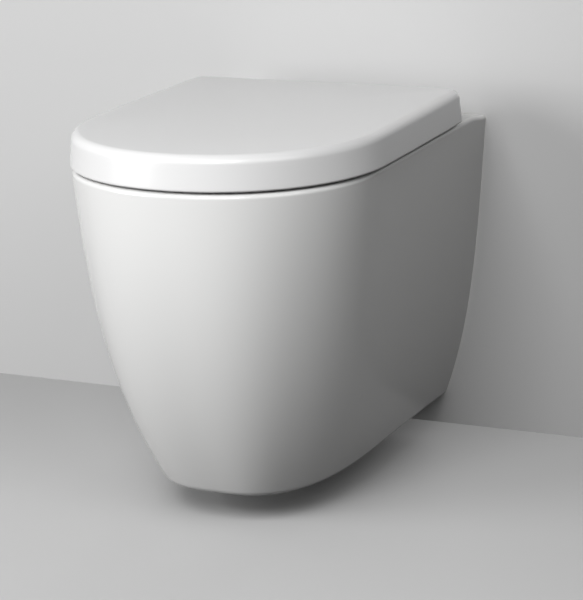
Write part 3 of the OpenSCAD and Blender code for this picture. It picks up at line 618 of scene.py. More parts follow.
def shell_tree():
    """Tree for a solid with a straight back, rounded front, rounded edges and a crowned top."""
    tree, size = new_tree("Rounded Shell", Float=[
        "Half Width", "Narrowing", "Projection", "Front Depth", "Squareness", "Back", "Back Corner", "Top",
        "Bottom", "Upper Round", "Lower Round", "Inset", "Crown", "Crown Inset", "Draft", "Draft Level",
    ], Material=["Material"])

    # Rows from the bottom up: lower round, side, upper round, crown
    side_rows, crown_rows = 6, 10
    barrel, x, y, row = barrel_rows(tree, AROUND, 2 * ROUND_ROWS + side_rows + crown_rows)
    straight = size["Top"] - size["Bottom"] - size["Upper Round"] - size["Lower Round"]
    crown = ((row - 2 * ROUND_ROWS - side_rows) / crown_rows).share()
    level, edge = rounded_side(
        row, side_rows, size["Bottom"], straight, size["Lower Round"], size["Upper Round"]
    )
    level = level + size["Crown"] * crown * (2 - crown)
    inset = size["Inset"] + edge + size["Crown Inset"] * crown

    # Outline at that inset: the draft draws in the sides and the front, and leaves the back upright
    turn = calculate(tree, "ARCTAN2", y * -1, x)
    cosine = turn.apply("COSINE").apply("ABSOLUTE")
    sine = turn.apply("SINE").apply("ABSOLUTE")
    drawn = inset + size["Draft"] * (level - size["Draft Level"])
    half_front = size["Half Width"] - drawn
    half_back = half_front - size["Narrowing"]
    depth = size["Front Depth"] - drawn * DEPTH_LOSS
    start = depth + drawn - size["Projection"]
    power = 2.0 / size["Squareness"]
    front_x = half_front * cosine ** power
    front_y = start - depth * sine ** power
    run = sine.apply("ARCSINE") / QUARTER
    u = 1 - (run / FLANK_END).share()
    bend = ((run - FLANK_END) / (CORNER_END - FLANK_END)).share() * QUARTER
    inward = ((run - CORNER_END) / (1 - CORNER_END)).share()
    least_corner = 0.2 * MM
    corner = (size["Back Corner"] - edge).apply("MAXIMUM", least_corner)
    back = size["Back"] * -1 - inset - corner
    flank_x = half_back + (half_front - half_back) * (1 - (1 - u) ** 2)
    back_x = (flank_x - corner * (1 - bend.apply("COSINE"))) * (1 - inward)
    back_y = back + (start - back) * u + corner * bend.apply("SINE")
    front = turn.apply("GREATER_THAN", -1e-5)
    new_x = (front * front_x + (1 - front) * back_x) * x.apply("SIGN")
    new_y = front * front_y + (1 - front) * back_y
    close_tree(tree, shaped_barrel(tree, barrel, new_x, new_y, level), size["Material"])
    return tree


def pads_tree():
    """Tree that sets a soft pad with rounded edges on every point, turned by the point's turn attribute."""
    tree, size = new_tree(
        "Pads", Geometry=["Points"], Float=["Length", "Width", "Height", "Round"], Material=["Material"]
    )
    side_rows = 1
    barrel, x, y, row = barrel_rows(tree, SMALL_AROUND, 2 * ROUND_ROWS + side_rows)
    level, inset = rounded_side(
        row, side_rows, 0.0, size["Height"] - size["Round"] * 2, size["Round"], size["Round"]
    )
    radius = size["Width"] / 2 - inset
    stretch = (size["Length"] - size["Width"]) / 2
    smooth = shaped_barrel(tree, barrel, x * radius, y * radius + y.apply("SIGN") * stretch, level)
    turn = place_node(tree, "GeometryNodeInputNamedAttribute", {"data_type": "FLOAT"}, Name="turn")
    rotation = place_node(tree, "ShaderNodeCombineXYZ", Z=output(tree, turn, "Attribute"))
    spread = place_node(
        tree, "GeometryNodeInstanceOnPoints", Points=size["Points"],
        Instance=smooth, Rotation=output(tree, rotation),
    )
    close_tree(tree, output(tree, spread), size["Material"])
    return tree


def points_mesh(name, places, turns):
    """Mesh of loose points, each with a turn about Z."""
    mesh = bpy.data.meshes.new(name)
    mesh.from_pydata(places, [], [])
    attribute = mesh.attributes.new("turn", "FLOAT", "POINT")
    attribute.data.foreach_set("value", turns)
    return mesh


def surface_group(name, build, **kinds):
    """Shader node group, built once, whose outputs vary over the surface."""
    group = bpy.data.node_groups.get(name)
    if group:
        return group
    group = bpy.data.node_groups.new(name, "ShaderNodeTree")
    results = build(group, named_inputs(group, **kinds))
    for label, signal in results.items():
        kind = "NodeSocketColor" if signal.socket.type == "RGBA" else "NodeSocketFloat"
        group.interface.new_socket(label, in_out="OUTPUT", socket_type=kind)
    place_node(group, "NodeGroupOutput", **results)
    return group


def noise(tree, scale, detail, stretch=(1, 1, 1)):
    """Noise on object coordinates, stretched by a Mapping node."""
    place = output(tree, tree.nodes.new("ShaderNodeTexCoord"), "Object")
    mapping = place_node(tree, "ShaderNodeMapping", Vector=place, Scale=stretch)
    texture = place_node(tree, "ShaderNodeTexNoise", Vector=output(tree, mapping), Scale=scale, Detail=detail)
    return output(tree, texture, "Fac")


def mix_colours(tree, share, first, second):
    """Colour between two others."""
    node = place_node(tree, "ShaderNodeMix", {"data_type": "RGBA"})
    feed(tree, share, node.inputs["Factor"])
    colours = [socket for socket in node.inputs if socket.type == "RGBA"]
    feed(tree, first, colours[0])
    feed(tree, second, colours[1])
    return Signal(tree, next(socket for socket in node.outputs if socket.type == "RGBA"))


def toned_group():
    """Two close tones in broad clouds, and a little roughness change with them."""
    def build(tree, value):
        clouds = noise(tree, value["Scale"], detail=3.0)
        start, contrast = 0.35, 3.3
        share = ((clouds - start) * contrast).share()
        rough = value["Roughness"] + (clouds - 0.5) * value["Roughness Change"]
        return {"Color": mix_colours(tree, share, value["First"], value["Second"]), "Roughness": rough}
    return surface_group(
        "Toned Surface", build, Color=["First", "Second"], Float=["Scale", "Roughness", "Roughness Change"]
    )


def ripple_group():
    """Height of a surface that flowed or was moulded: broad ripple and fine peel."""
    def build(tree, value):
        broad = noise(tree, value["Broad Scale"], detail=1.0)
        fine = noise(tree, value["Fine Scale"], detail=3.0)
        return {"Height": broad * value["Broad Height"] + fine * value["Fine Height"]}
    return surface_group(
        "Surface Ripple", build, Float=["Broad Scale", "Broad Height", "Fine Scale", "Fine Height"]
    )


def brushed_group():
    """Height and roughness of fine lines that a turned or brushed metal carries along one direction."""
    def build(tree, value):
        lines = noise(tree, value["Scale"], detail=6.0, stretch=(0.02, 1, 1))
        return {"Height": lines, "Roughness": value["Roughness"] + (lines - 0.5) * value["Roughness Change"]}
    return surface_group("Brushed Lines", build, Float=["Scale", "Roughness", "Roughness Change"])


def new_finish(name, **constants):
    """Material with a Principled shader and its plain values. Returns it, its tree and the shader."""
    material = bpy.data.materials.new(name)
    material.use_nodes = True
    tree = material.node_tree
    shader = tree.nodes["Principled BSDF"]
    set_inputs(tree, shader, **constants)
    return material, tree, shader


def add_group(tree, group, **values):
    """Place a shader node group in a material with its own values."""
    return place_node(tree, "ShaderNodeGroup", {"node_tree": group}, **values)


def add_bump(tree, shader, height, distance, strength):
    """Bump on a shader from a height."""
    bump = place_node(tree, "ShaderNodeBump", Height=height, Distance=distance, Strength=strength)
    set_inputs(tree, shader, Normal=output(tree, bump))


def paint(tree, shader, colour, factor, scale, roughness, change):
    """Feed colour and roughness of a shader from broad clouds of a colour and a slightly different tone."""
    other = (*(min(c * factor, 1.0) for c in colour), 1.0)
    tones = add_group(
        tree, toned_group(), First=(*colour, 1.0), Second=other, Scale=scale,
        Roughness=roughness, Roughness_Change=change,
    )
    set_inputs(
        tree, shader, Base_Color=output(tree, tones, "Color"), Roughness=output(tree, tones, "Roughness")
    )


def flowed(name, tones, ripple, bump, **constants):
    """Finish that flowed or was moulded: two close tones over a broad and a fine ripple.

    Tones are a colour, a factor, a scale, a roughness and its change. A ripple is a broad scale and height,
    then a fine scale and height. A bump is a distance and a strength.
    """
    material, tree, shader = new_finish(name, **constants)
    paint(tree, shader, *tones)
    labels = ("Broad_Scale", "Broad_Height", "Fine_Scale", "Fine_Height")
    heights = add_group(tree, ripple_group(), **dict(zip(labels, ripple)))
    add_bump(tree, shader, output(tree, heights, "Height"), *bump)
    return material


def plastic(name, colour, roughness, grain):
    """Matt or satin moulding with a fine grain."""
    return flowed(
        name, (colour, 0.9, 60.0, roughness, 0.1), (90.0, 0.3, 1800.0, 1.0), (grain, 0.5),
        Specular_IOR_Level=0.45,
    )


def metal(name, colour, roughness, scale):
    """Turned or brushed metal with fine lines."""
    material, tree, shader = new_finish(name, Metallic=1.0)
    paint(tree, shader, colour, factor=0.93, scale=80.0, roughness=roughness, change=0.1)
    lines = add_group(tree, brushed_group(), Scale=scale, Roughness=roughness, Roughness_Change=0.25)
    set_inputs(tree, shader, Roughness=output(tree, lines, "Roughness"))
    add_bump(tree, shader, output(tree, lines, "Height"), distance=0.00004, strength=0.6)
    return material


def finish(slot):
    """Material of a slot, made when it is first asked for."""
    made = bpy.data.materials.get(slot)
    if made:
        return made
    colours = bpy.context.scene.toilet_finish
    makers = {
        # White glaze that flowed a little as it fired
        "glazed_ceramic": lambda: flowed(
            slot, (colours.glaze, 0.985, 5.0, 0.17, 0.06), (11.0, 1.0, 260.0, 0.03), (0.0012, 0.35),
            Coat_Weight=0.6, Coat_Roughness=0.03, Specular_IOR_Level=0.5,
        ),
        # Fired body without glaze, where the pan meets the wall and inside its hollow
        "bare_ceramic": lambda: flowed(
            slot, (colours.biscuit, 0.9, 22.0, 0.72, 0.15), (40.0, 0.6, 900.0, 0.5), (0.0006, 0.5),
            Specular_IOR_Level=0.3,
        ),
        # Hard white moulding of the seat and the lid
        "duroplast": lambda: flowed(
            slot, (colours.duroplast, 0.99, 7.0, 0.24, 0.05), (18.0, 0.5, 700.0, 0.05), (0.0005, 0.3),
            Coat_Weight=0.35, Coat_Roughness=0.08, Specular_IOR_Level=0.5,
        ),
        # Bright chrome plate with the faint flow of the casting under it
        "chromed_zinc": lambda: flowed(
            slot, ((0.74, 0.75, 0.76), 0.96, 30.0, 0.08, 0.05), (60.0, 1.0, 500.0, 0.1), (0.0002, 0.4),
            Metallic=1.0,
        ),
        "bracket_nylon": lambda: plastic(slot, colours.nylon, 0.5, 0.0002),
        "damper_plastic": lambda: plastic(slot, (0.17, 0.18, 0.2), 0.42, 0.0001),
        "button_plastic": lambda: plastic(slot, colours.button, 0.3, 0.00005),
        "bush_plastic": lambda: plastic(slot, (0.78, 0.78, 0.76), 0.4, 0.00005),
        "black_rubber": lambda: plastic(slot, colours.rubber, 0.75, 0.0002),
        "clear_grey_rubber": lambda: plastic(slot, colours.bumper, 0.5, 0.0001),
        "brass": lambda: metal(slot, (0.62, 0.43, 0.17), 0.28, 1400.0),
        "stainless_steel": lambda: metal(slot, (0.56, 0.56, 0.57), 0.26, 1100.0),
    }
    return makers[slot]()


def pan_outline(pan, z, inset, back=0, count=AROUND):
    """Outline of the pan at a height, or at a height for each point, drawn in by an inset."""
    share = np.maximum((PAN_HIGH.z - z) / (PAN_HIGH.z - PAN_LOW.z), 0.0)
    half = pan.half_width - pan.lean * share - pan.tuck * share ** pan.tuck_curve
    projection = -PAN_LOW.y - pan.front_tuck * share ** pan.front_curve
    return d_outline(
        half - inset, half + pan.rim_spread - pan.spread_loss * share - inset, projection - inset,
        pan.front_depth + pan.front_growth * share - DEPTH_LOSS * inset,
        pan.power + pan.power_growth * share, back, pan.wall_round, count,
    )


# Bowl profile: depth below the rim, and insets at the sides, at the front and at the back, in millimetres
BOWL_PROFILE = np.array([
    (0, 0, 0, 0), (34, 0, 0, 0), (40, 12, 12, 12), (100, 30, 34, 36), (160, 51, 70, 60),
    (200, 64, 104, 76), (245, 76, 142, 92), (285, 84, 168, 98), (305, 96, 192, 110),
]) * MM
BOWL_DEPTH = BOWL_PROFILE[-1, 0]

# Length over which the bends of that profile are softened inside the bowl. Outside it is twice as long.
BOWL_SOFT = 4 * MM


def bowl_insets(depth, soften):
    """Insets of the bowl at a depth, with the bends of the profile softened over a length."""
    near = np.clip(depth + np.linspace(-soften, soften, num=9), 0, BOWL_DEPTH)
    return [np.interp(near, BOWL_PROFILE[:, 0], BOWL_PROFILE[:, k]).mean() for k in (1, 2, 3)]


def bowl_row(pan, depth, grow_by, soften, count=AROUND):
    """Points round the bowl at a depth below the rim."""
    side, front, back = bowl_insets(depth, soften)
    ring = oval(
        pan.bowl_half - side + grow_by, pan.bowl_front - front + grow_by,
        pan.bowl_back + back - grow_by, pan.bowl_power, count,
    )
    return at_level(ring, PAN_HIGH.z - depth)


# Height below the rim over which rows sink with the deck, in falls of the deck
DECK_REACH = 6


def deck_drop(pan, y):
    """Fall of the deck below the rim, at a place along Y."""
    return pan.deck_fall * ease(np.clip(1 + y / pan.fall_length, 0, 1))


def pan_row(pan, z, inset):
    """Points round the pan at a height, which sink with the deck towards the wall near the rim."""
    near_rim = np.clip(1 - (PAN_HIGH.z - pan.rim_round - z) / (DECK_REACH * pan.deck_fall), 0, 1)
    sunk = z - deck_drop(pan, pan_outline(pan, z, inset)[:, 1]) * ease(near_rim)
    return np.column_stack([pan_outline(pan, sunk, inset), sunk])


def pan_block(pan, material):
    """Outside of the pan, its rim and the inside of its bowl, as one solid."""
    rim, foot = PAN_HIGH.z, PAN_LOW.z
    flank = np.linspace(foot + pan.foot_round, rim - pan.rim_round, FLANK_ROWS)[1:-1]
    rows = [pan_row(pan, foot + rise, inset) for inset, rise in round_steps(pan.foot_round)]
    rows += [pan_row(pan, z, 0) for z in flank]
    rows += [pan_row(pan, rim - drop, inset) for drop, inset in round_steps(pan.rim_round)]
    for row in rows_between(rows[-1], bowl_row(pan, 0, pan.lip_round, 0), DECK_ROWS):
        row[:, 2] = rim - deck_drop(pan, row[:, 1])
        rows.append(row)
    for growth, drop in round_steps(pan.lip_round):
        row = bowl_row(pan, 0, growth, 0)
        row[:, 2] -= drop
        rows.append(row)
    depths = np.linspace(pan.lip_round, BOWL_DEPTH, BOWL_ROWS)[1:]
    rows += [bowl_row(pan, depth, 0, BOWL_SOFT) for depth in depths]
    return loft("pan_casting", rows, material)


def trap_stations(pan, wall):
    """Stations of the trap: out of the sump, up over the weir and down into the spigot."""
    bore, run_in, bore_step = pan.trap_radius, 6 * MM, 0.4 * MM
    sump_y, climb_y, weir_y = -(pan.bowl_back + 120 * MM), -(pan.bowl_back + 90 * MM), -112 * MM
    sump_z = PAN_HIGH.z - BOWL_DEPTH + bore + MM
    weir_z = sump_z + 2 * bore + pan.water_seal
    last_bore = SPIGOT_R - pan.trap_wall - bore_step
    stations = [(sump_y, sump_z, bore + wall)]
    for t in np.linspace(0, 1, CLIMB_ROWS):
        stations.append((climb_y + (weir_y - climb_y) * t, sump_z + (weir_z - sump_z) * ease(t), bore + wall))
    for t in np.linspace(0, 1, FALL_ROWS)[1:]:
        stations.append((
            weir_y + (SPIGOT_START + run_in - weir_y) * t, weir_z + (SPIGOT_Z - weir_z) * ease(t),
            bore + (last_bore - bore) * ease(t) + wall,
        ))
    return stations


def along_x(start, end, radius, material):
    """Round bar on the hinge axis."""
    return round_bar((start, HINGE.y, HINGE.z), (end, HINGE.y, HINGE.z), radius, material)


def along_y(x, z, start, end, radius, material):
    """Round bar along Y."""
    return round_bar((x, start, z), (x, end, z), radius, material)


def upright(x, y, low, high, radius, material):
    """Round bar along Z."""
    return round_bar((x, y, low), (x, y, high), radius, material)


class TOILET_OT_pan(bpy.types.Operator):
    """Build the ceramic pan with its rim, bowl, trap, connections and ledges"""

    bl_idname = "toilet.pan"
    bl_label = "Pan"

    def execute(self, context):
        pan = context.scene.toilet_pan
        glaze, bare = finish("glazed_ceramic"), finish("bare_ceramic")
        rim = PAN_HIGH.z
        under_deck = rim - pan.shroud_wall
        duct_half, duct_wall = pan.duct_half, pan.duct_wall
        duct_z = under_deck - pan.duct_height

        # Hollow of the shroud, around what stands in it
        low, high = PAN_LOW.z + pan.shroud_wall, under_deck
        hollow = loft("hollow", [
            at_level(pan_outline(pan, z, pan.shroud_wall, OVERRUN, HOLLOW_AROUND), z)
            for z in np.linspace(low, high, HOLLOW_ROWS)
        ], bare)
        outside = [
            bowl_row(pan, depth, pan.bowl_wall, 2 * BOWL_SOFT, HOLLOW_AROUND)
            for depth in np.linspace(pan.shroud_wall - MERGE, BOWL_DEPTH, BOWL_OUTSIDE_ROWS)
        ]
        outside.append(at_level(outside[-1][:, :2], rim - BOWL_DEPTH - pan.bowl_wall))
        cut(hollow, loft("bowl outside", outside, bare))
        cut(hollow, swept_tube(trap_stations(pan, pan.trap_wall), bare))
        cut(hollow, along_y(0, SPIGOT_Z, SPIGOT_START, SPIGOT_MOUTH, SPIGOT_R, bare))
        boss_start = INLET_START - pan.chamber_length - duct_wall
        cut(hollow, along_y(0, INLET_Z, boss_start, INLET_MOUTH, INLET_R + pan.inlet_wall, bare))
        cut(hollow, box_solid(
            (-duct_half - duct_wall, -pan.bowl_back - pan.bowl_wall / 2, duct_z - duct_wall),
            (duct_half + duct_wall, INLET_START + duct_wall, under_deck + MERGE), bare,
        ))
        ledge_high = WASHERS_LOW.z
        ledge_low = ledge_high - pan.ledge_thickness
        inner, outer = duct_half + duct_wall - MERGE, pan.half_width - pan.shroud_wall
        for side in (-1, 1):
            for reach, top in ((outer, ledge_high), (inner + pan.ledge_web, under_deck + MERGE)):
                x0, x1 = sorted((side * inner, side * reach))
                cut(hollow, box_solid((x0, -pan.ledge_front, ledge_low), (x1, -pan.ledge_back, top), bare))

        block = pan_block(pan, glaze)
        cut(block, hollow)
        cut(block, swept_tube(trap_stations(pan, 0), glaze))
        cut(block, along_y(0, SPIGOT_Z, SPIGOT_START - MERGE, 0, SPIGOT_R - pan.trap_wall, glaze))
        cut(block, along_y(0, INLET_Z, INLET_START, 0, INLET_R, glaze))
        cut(block, box_solid(
            (-duct_half, -pan.bowl_back - pan.bowl_wall - MERGE, duct_z),
            (duct_half, INLET_START - MERGE, under_deck), glaze,
        ))
        cut(block, box_solid(
            (-pan.chamber_half, INLET_START - pan.chamber_length, INLET_Z - pan.chamber_drop),
            (pan.chamber_half, INLET_START + OVERRUN, under_deck), glaze,
        ))
        for side in (-1, 1):
            x = side * POST_X
            cut(block, upright(x, POST_Y, under_deck - OVERRUN, rim + OVERRUN, pan.hinge_hole, glaze))
            cut(block, upright(x, POST_Y, ledge_low - OVERRUN, ledge_high + OVERRUN, pan.clamp_hole, bare))
        for polygon in block.data.polygons:
            if polygon.center.y > AT_WALL:
                polygon.material_index = block.data.materials.find("bare_ceramic")
        finish_edges(block)
        stand_for(block, "pan_body", "glazed_ceramic", "pan")
        return {"FINISHED"}


def shell_values(lid, material):
    """Named values of the lid's outer shell."""
    return {
        "Half Width": LID_HIGH.x, "Narrowing": lid.narrowing, "Projection": -LID_LOW.y,
        "Front Depth": lid.front_depth, "Squareness": lid.power, "Back": -LID_HIGH.y,
        "Back Corner": lid.corner, "Top": LID_HIGH.z - lid.crown, "Bottom": LID_LOW.z,
        "Upper Round": lid.upper_round, "Lower Round": lid.lower_round, "Inset": 0.0,
        "Crown": lid.crown, "Crown Inset": lid.crown_inset, "Draft": lid.draft, "Draft Level": LID_LOW.z,
        "Material": material,
    }


class TOILET_OT_lid(bpy.types.Operator):
    """Build the wrap-over lid with its hollow, its open back and its hinge lugs"""

    bl_idname = "toilet.lid"
    bl_label = "Lid"

    def execute(self, context):
        lid = context.scene.toilet_lid
        white = finish("duroplast")
        back_lip, lug_back = 2 * MM, HINGE.y + 6 * MM
        tree = shell_tree()
        piece = grow("lid_shell", tree, shell_values(lid, white))
        ceiling = LID_HIGH.z - lid.crown - lid.wall
        hollow = grow("hollow", tree, {
            **shell_values(lid, white), "Top": ceiling, "Bottom": LID_LOW.z - OVERRUN, "Inset": lid.wall,
            "Crown": 0.0, "Upper Round": lid.inner_round, "Lower Round": SHARP,
            "Back Corner": lid.corner - lid.wall,
        })
        cut(piece, hollow)
        open_half = LID_HIGH.x - lid.narrowing - lid.corner - lid.back_return
        cut(piece, box_solid(
            (-open_half, LID_HIGH.y - lid.wall - OVERRUN, LID_LOW.z - OVERRUN),
            (open_half, LID_HIGH.y + OVERRUN, ceiling - back_lip), white,
        ))
        inner = BLOCK_LOW.x - LUG_GAP - lid.lug_width
        for side in (-1, 1):
            x0, x1 = sorted((side * inner, side * (inner + lid.lug_width)))
            join(piece, box_solid(
                (x0, HINGE.y - lid.lug_radius, HINGE.z), (x1, lug_back, ceiling + MM), white
            ))
            join(piece, along_x(x0, x1, lid.lug_radius, white))
        cut(piece, damped_bore(-1, white), plain_bore(1, white))
        finish_edges(piece)
        stand_for(piece, "lid_body", "duroplast", "lid")
        return {"FINISHED"}


def damped_bore(side, material):
    """Bore with two flats for a damper's shaft, in the lug at the +X end of a block."""
    low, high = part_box("seat_damper_shaft" if side > 0 else "lid_damper_shaft")
    start = side * POST_X + (BLOCK_HIGH.x - BLOCK_LOW.x) / 2 + LUG_GAP - OVERRUN
    end = high.x + BORE_END
    half = HALF_FLATS + BORE_PLAY
    bore = along_x(start, end, (high.z - low.z) / 2 + BORE_PLAY, material)
    flat = box_solid(
        (start - MM, HINGE.y - half, low.z - MM), (end + MM, HINGE.y + half, high.z + MM), material
    )
    combine(bore, flat, "INTERSECT")
    return bore


def plain_bore(side, material):
    """Bore for a bush, in the lug at the -X end of a block."""
    low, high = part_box("lid_bush" if side > 0 else "seat_bush")
    return along_x(low.x - BORE_END, high.x + OVERRUN, (high.z - low.z) / 2 + BORE_PLAY, material)


# Edge of the seat's hole: depth below the seat's top, and growth of the hole, in millimetres
SEAT_HOLE_PROFILE = [
    (0.2, 11.5), (0.7, 8.6), (1.9, 5.4), (3.6, 3.2), (6, 1.4), (10, 0), (18, 0), (19.8, 0.8), (21, 3)
]


def seat_rows(lid):
    """Rows of points round the seat: outer edge, top, edge of the hole and underside."""
    bottom = SEAT_LOW.z
    top = bottom + lid.seat_thickness

    def outer(inset, z):
        return at_level(d_outline(
            LID_HIGH.x - lid.narrowing - lid.seat_inset - inset, LID_HIGH.x - lid.seat_inset - inset,
            -LID_LOW.y - lid.seat_inset - inset, lid.front_depth - DEPTH_LOSS * (lid.seat_inset + inset),
            lid.power, -lid.seat_back - inset, max(lid.seat_corner - inset, MM),
        ), z)

    def hole(growth, z):
        return at_level(oval(
            lid.hole_half + growth, lid.hole_front + growth, lid.hole_back - growth, lid.hole_power
        ), z)

    rows = [outer(inset, bottom + rise) for inset, rise in round_steps(lid.seat_lower_round)]
    rows += [outer(inset, top - drop) for drop, inset in round_steps(lid.seat_round)]
    hole_rows = [hole(growth * MM, top - depth * MM) for depth, growth in SEAT_HOLE_PROFILE]
    rows += rows_between(rows[-1], hole_rows[0], SEAT_TOP_ROWS) + hole_rows
    return rows + rows_between(rows[-1], rows[0], SEAT_UNDER_ROWS)


class TOILET_OT_seat(bpy.types.Operator):
    """Build the seat ring with its arms and hinge lugs"""

    bl_idname = "toilet.seat"
    bl_label = "Seat"

    def execute(self, context):
        lid = context.scene.toilet_lid
        white = finish("duroplast")
        piece = loft("seat_shell", seat_rows(lid), white, ring=True)
        arm_top = SEAT_LOW.z + lid.seat_thickness - MM
        back = lid.seat_back
        inner = BLOCK_HIGH.x + LUG_GAP
        for side in (-1, 1):
            x0, x1 = sorted((side * inner, side * (inner + lid.lug_width)))
            join(piece, box_solid(
                (x0, -back - lid.seat_round, HINGE.z - lid.arm_half), (x1, HINGE.y, arm_top), white
            ))
            join(piece, box_solid(
                (x0, -back - lid.arm_root, SEAT_LOW.z + lid.seat_lower_round),
                (x1, -back + MERGE, arm_top), white,
            ))
            join(piece, along_x(x0, x1, lid.seat_lug_radius, white))
        cut(piece, damped_bore(1, white), plain_bore(-1, white))
        finish_edges(piece)
        stand_for(piece, "seat_body", "duroplast", "seat_ring")
        return {"FINISHED"}


def superellipse_half(half, share, power):
    """Half width of a superellipse at a share of its depth."""
    return half * (1 - share ** power) ** (1 / power)


def seat_mid(lid, place):
    """Half width of the line midway between the seat's edge and its hole, at a distance from the wall."""
    start = -LID_LOW.y - lid.front_depth
    share = max(place - start, 0) / lid.front_depth
    edge = superellipse_half(LID_HIGH.x, share, lid.power) - lid.seat_inset
    mid, reach = (lid.hole_front + lid.hole_back) / 2, (lid.hole_front - lid.hole_back) / 2
    hole = superellipse_half(lid.hole_half, abs(place - mid) / reach, lid.hole_power)
    return (edge + hole) / 2


# Bumpers by body: node, piece, and in millimetres both distances from the wall, length, width and edge round
BUMPERS = {
    "seat_body": ("seat_bumpers", "seat_bumper_pads", (210, 380), 30, 12, 1.4),
    "lid_body": ("lid_bumpers", "lid_bumper_pads", (250, 400), 14, 14, 1.6),
}


class TOILET_OT_bumpers(bpy.types.Operator):
    """Set the soft bumpers under the seat and under the lid"""

    bl_idname = "toilet.bumpers"
    bl_label = "Bumpers"

    def execute(self, context):
        lid = context.scene.toilet_lid
        rubber = finish("clear_grey_rubber")
        tree = pads_tree()
        for body, (node, name, distances, long, wide, edge) in BUMPERS.items():
            low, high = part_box(node)
            straight = (long - wide) * MM
            places, turns = [], []
            for side in (-1, 1):
                for place in (distance * MM for distance in distances):
                    slope = seat_mid(lid, place - straight) - seat_mid(lid, place + straight)
                    places.append((side * seat_mid(lid, place), -place, low.z))
                    turns.append(side * math.atan2(slope, 2 * straight))
            piece = grow(name, tree, {
                "Length": long * MM, "Width": wide * MM, "Height": high.z - low.z, "Round": edge * MM,
                "Material": rubber,
            }, points_mesh(node, places, turns))
            finish_edges(piece)
            stand_for(piece, body, "clear_grey_rubber", node)
        return {"FINISHED"}


def softened(node, name, slot, width):
    """Copy of a construction node with merged faces and rounded edges, in its place."""
    source = frame["nodes"][node]
    mesh = source.data.copy()
    work = bmesh.new()
    work.from_mesh(mesh)
    bmesh.ops.remove_doubles(work, verts=work.verts, dist=2e-6)
    bmesh.ops.dissolve_limit(work, angle_limit=math.radians(0.4), verts=work.verts, edges=work.edges)
    work.to_mesh(mesh)
    work.free()
    mesh.materials.clear()
    mesh.materials.append(finish(slot))
    mesh.shade_smooth()
    mesh.set_sharp_from_angle(angle=math.radians(30))
    piece = new_object(name, mesh)
    bevel = piece.modifiers.new("edges", "BEVEL")
    bevel.width = width
    bevel.segments = 3
    bevel.limit_method = "ANGLE"
    bevel.angle_limit = math.radians(40)
    bevel.harden_normals = True
    stand_for(piece, source["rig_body"], slot, node)


class TOILET_OT_hinges(bpy.types.Operator):
    """Dress the hinge blocks, base plates and release buttons"""

    bl_idname = "toilet.hinges"
    bl_label = "Hinges"

    def execute(self, context):
        for side in ("left", "right"):
            softened(f"hinge_block_{side}", f"hinge_housing_{side}", "chromed_zinc", 0.5 * MM)
            softened(f"release_button_{side}", f"button_cap_{side}", "button_plastic", 0.4 * MM)
            softened(f"hinge_base_{side}", f"base_plate_{side}", "stainless_steel", 0.25 * MM)
        return {"FINISHED"}


class TOILET_OT_brackets(bpy.types.Operator):
    """Dress the two wall brackets"""

    bl_idname = "toilet.brackets"
    bl_label = "Wall brackets"

    def execute(self, context):
        for side in ("left", "right"):
            softened(f"bracket_{side}", f"wall_bracket_{side}", "bracket_nylon", 0.8 * MM)
        return {"FINISHED"}


class TOILET_OT_small_parts(bpy.types.Operator):
    """Give every construction node that still shows the finish of its slot"""

    bl_idname = "toilet.small_parts"
    bl_label = "Small parts"

    def execute(self, context):
        slots = {part["node"]: part["material_slot"] for part in frame["record"]["subparts"]}
        for name, node in frame["nodes"].items():
            if node.hide_render:
                continue
            node.data.materials.clear()
            node.data.materials.append(finish(slots[name]))
        return {"FINISHED"}


def seen_rays(tree):
    """1 for a ray that carries a picture: straight, in a mirror or through glass. 0 for one that lights."""
    path = tree.nodes.new("ShaderNodeLightPath")
    kinds = ("Camera", "Glossy", "Transmission")
    camera, glossy, through = (output(tree, path, f"Is {kind} Ray") for kind in kinds)
    return camera.apply("MAXIMUM", glossy).apply("MAXIMUM", through)


def stage_plane(name, near, far, colour, distance_seen):
    """Floor or wall between two edges, each given by its Y and Z.

    Only eyes and mirrors see it, and only from its front, but it keeps the object's shadow. Far out it turns
    into the pale space beyond it.
    """
    mesh = bpy.data.meshes.new(name)
    ends = (-STAGE_REACH, STAGE_REACH, STAGE_REACH, -STAGE_REACH)
    mesh.from_pydata([(x, *edge) for x, edge in zip(ends, (near, near, far, far))], [], [(0, 1, 2, 3)])
    material = bpy.data.materials.new(name)
    material.use_nodes = True
    tree = material.node_tree
    tree.nodes.clear()
    side = tree.nodes.new("ShaderNodeNewGeometry")
    seen = seen_rays(tree) * (1 - output(tree, side, "Backfacing"))
    place = output(tree, tree.nodes.new("ShaderNodeTexCoord"), "Object")
    reach = place_node(tree, "ShaderNodeVectorMath", {"operation": "LENGTH"}, Vector=place)
    fade = ((output(tree, reach, "Value") - FADE_START) / (FADE_END - FADE_START)).share()
    lit = place_node(tree, "ShaderNodeBsdfDiffuse", Color=(*colour, 1))
    beyond = place_node(tree, "ShaderNodeEmission", Color=(1, 1, 1, 1), Strength=distance_seen)
    colour_seen = place_node(tree, "ShaderNodeMixShader", Fac=fade * fade * (3 - 2 * fade))
    clear = tree.nodes.new("ShaderNodeBsdfTransparent")
    choice = place_node(tree, "ShaderNodeMixShader", Fac=seen)
    for shader, below, above in ((colour_seen, lit, beyond), (choice, clear, colour_seen)):
        tree.links.new(below.outputs[0], shader.inputs[1])
        tree.links.new(above.outputs[0], shader.inputs[2])
    place_node(tree, "ShaderNodeOutputMaterial", Surface=output(tree, choice))
    mesh.materials.append(material)
    new_object(name, mesh)


def bearing(azimuth, elevation):
    """Direction from the object, in degrees: azimuth 0 is in front of it and 90 at its right."""
    across, up = math.radians(azimuth), math.radians(elevation)
    return Vector((math.sin(across) * math.cos(up), -math.cos(across) * math.cos(up), math.sin(up)))


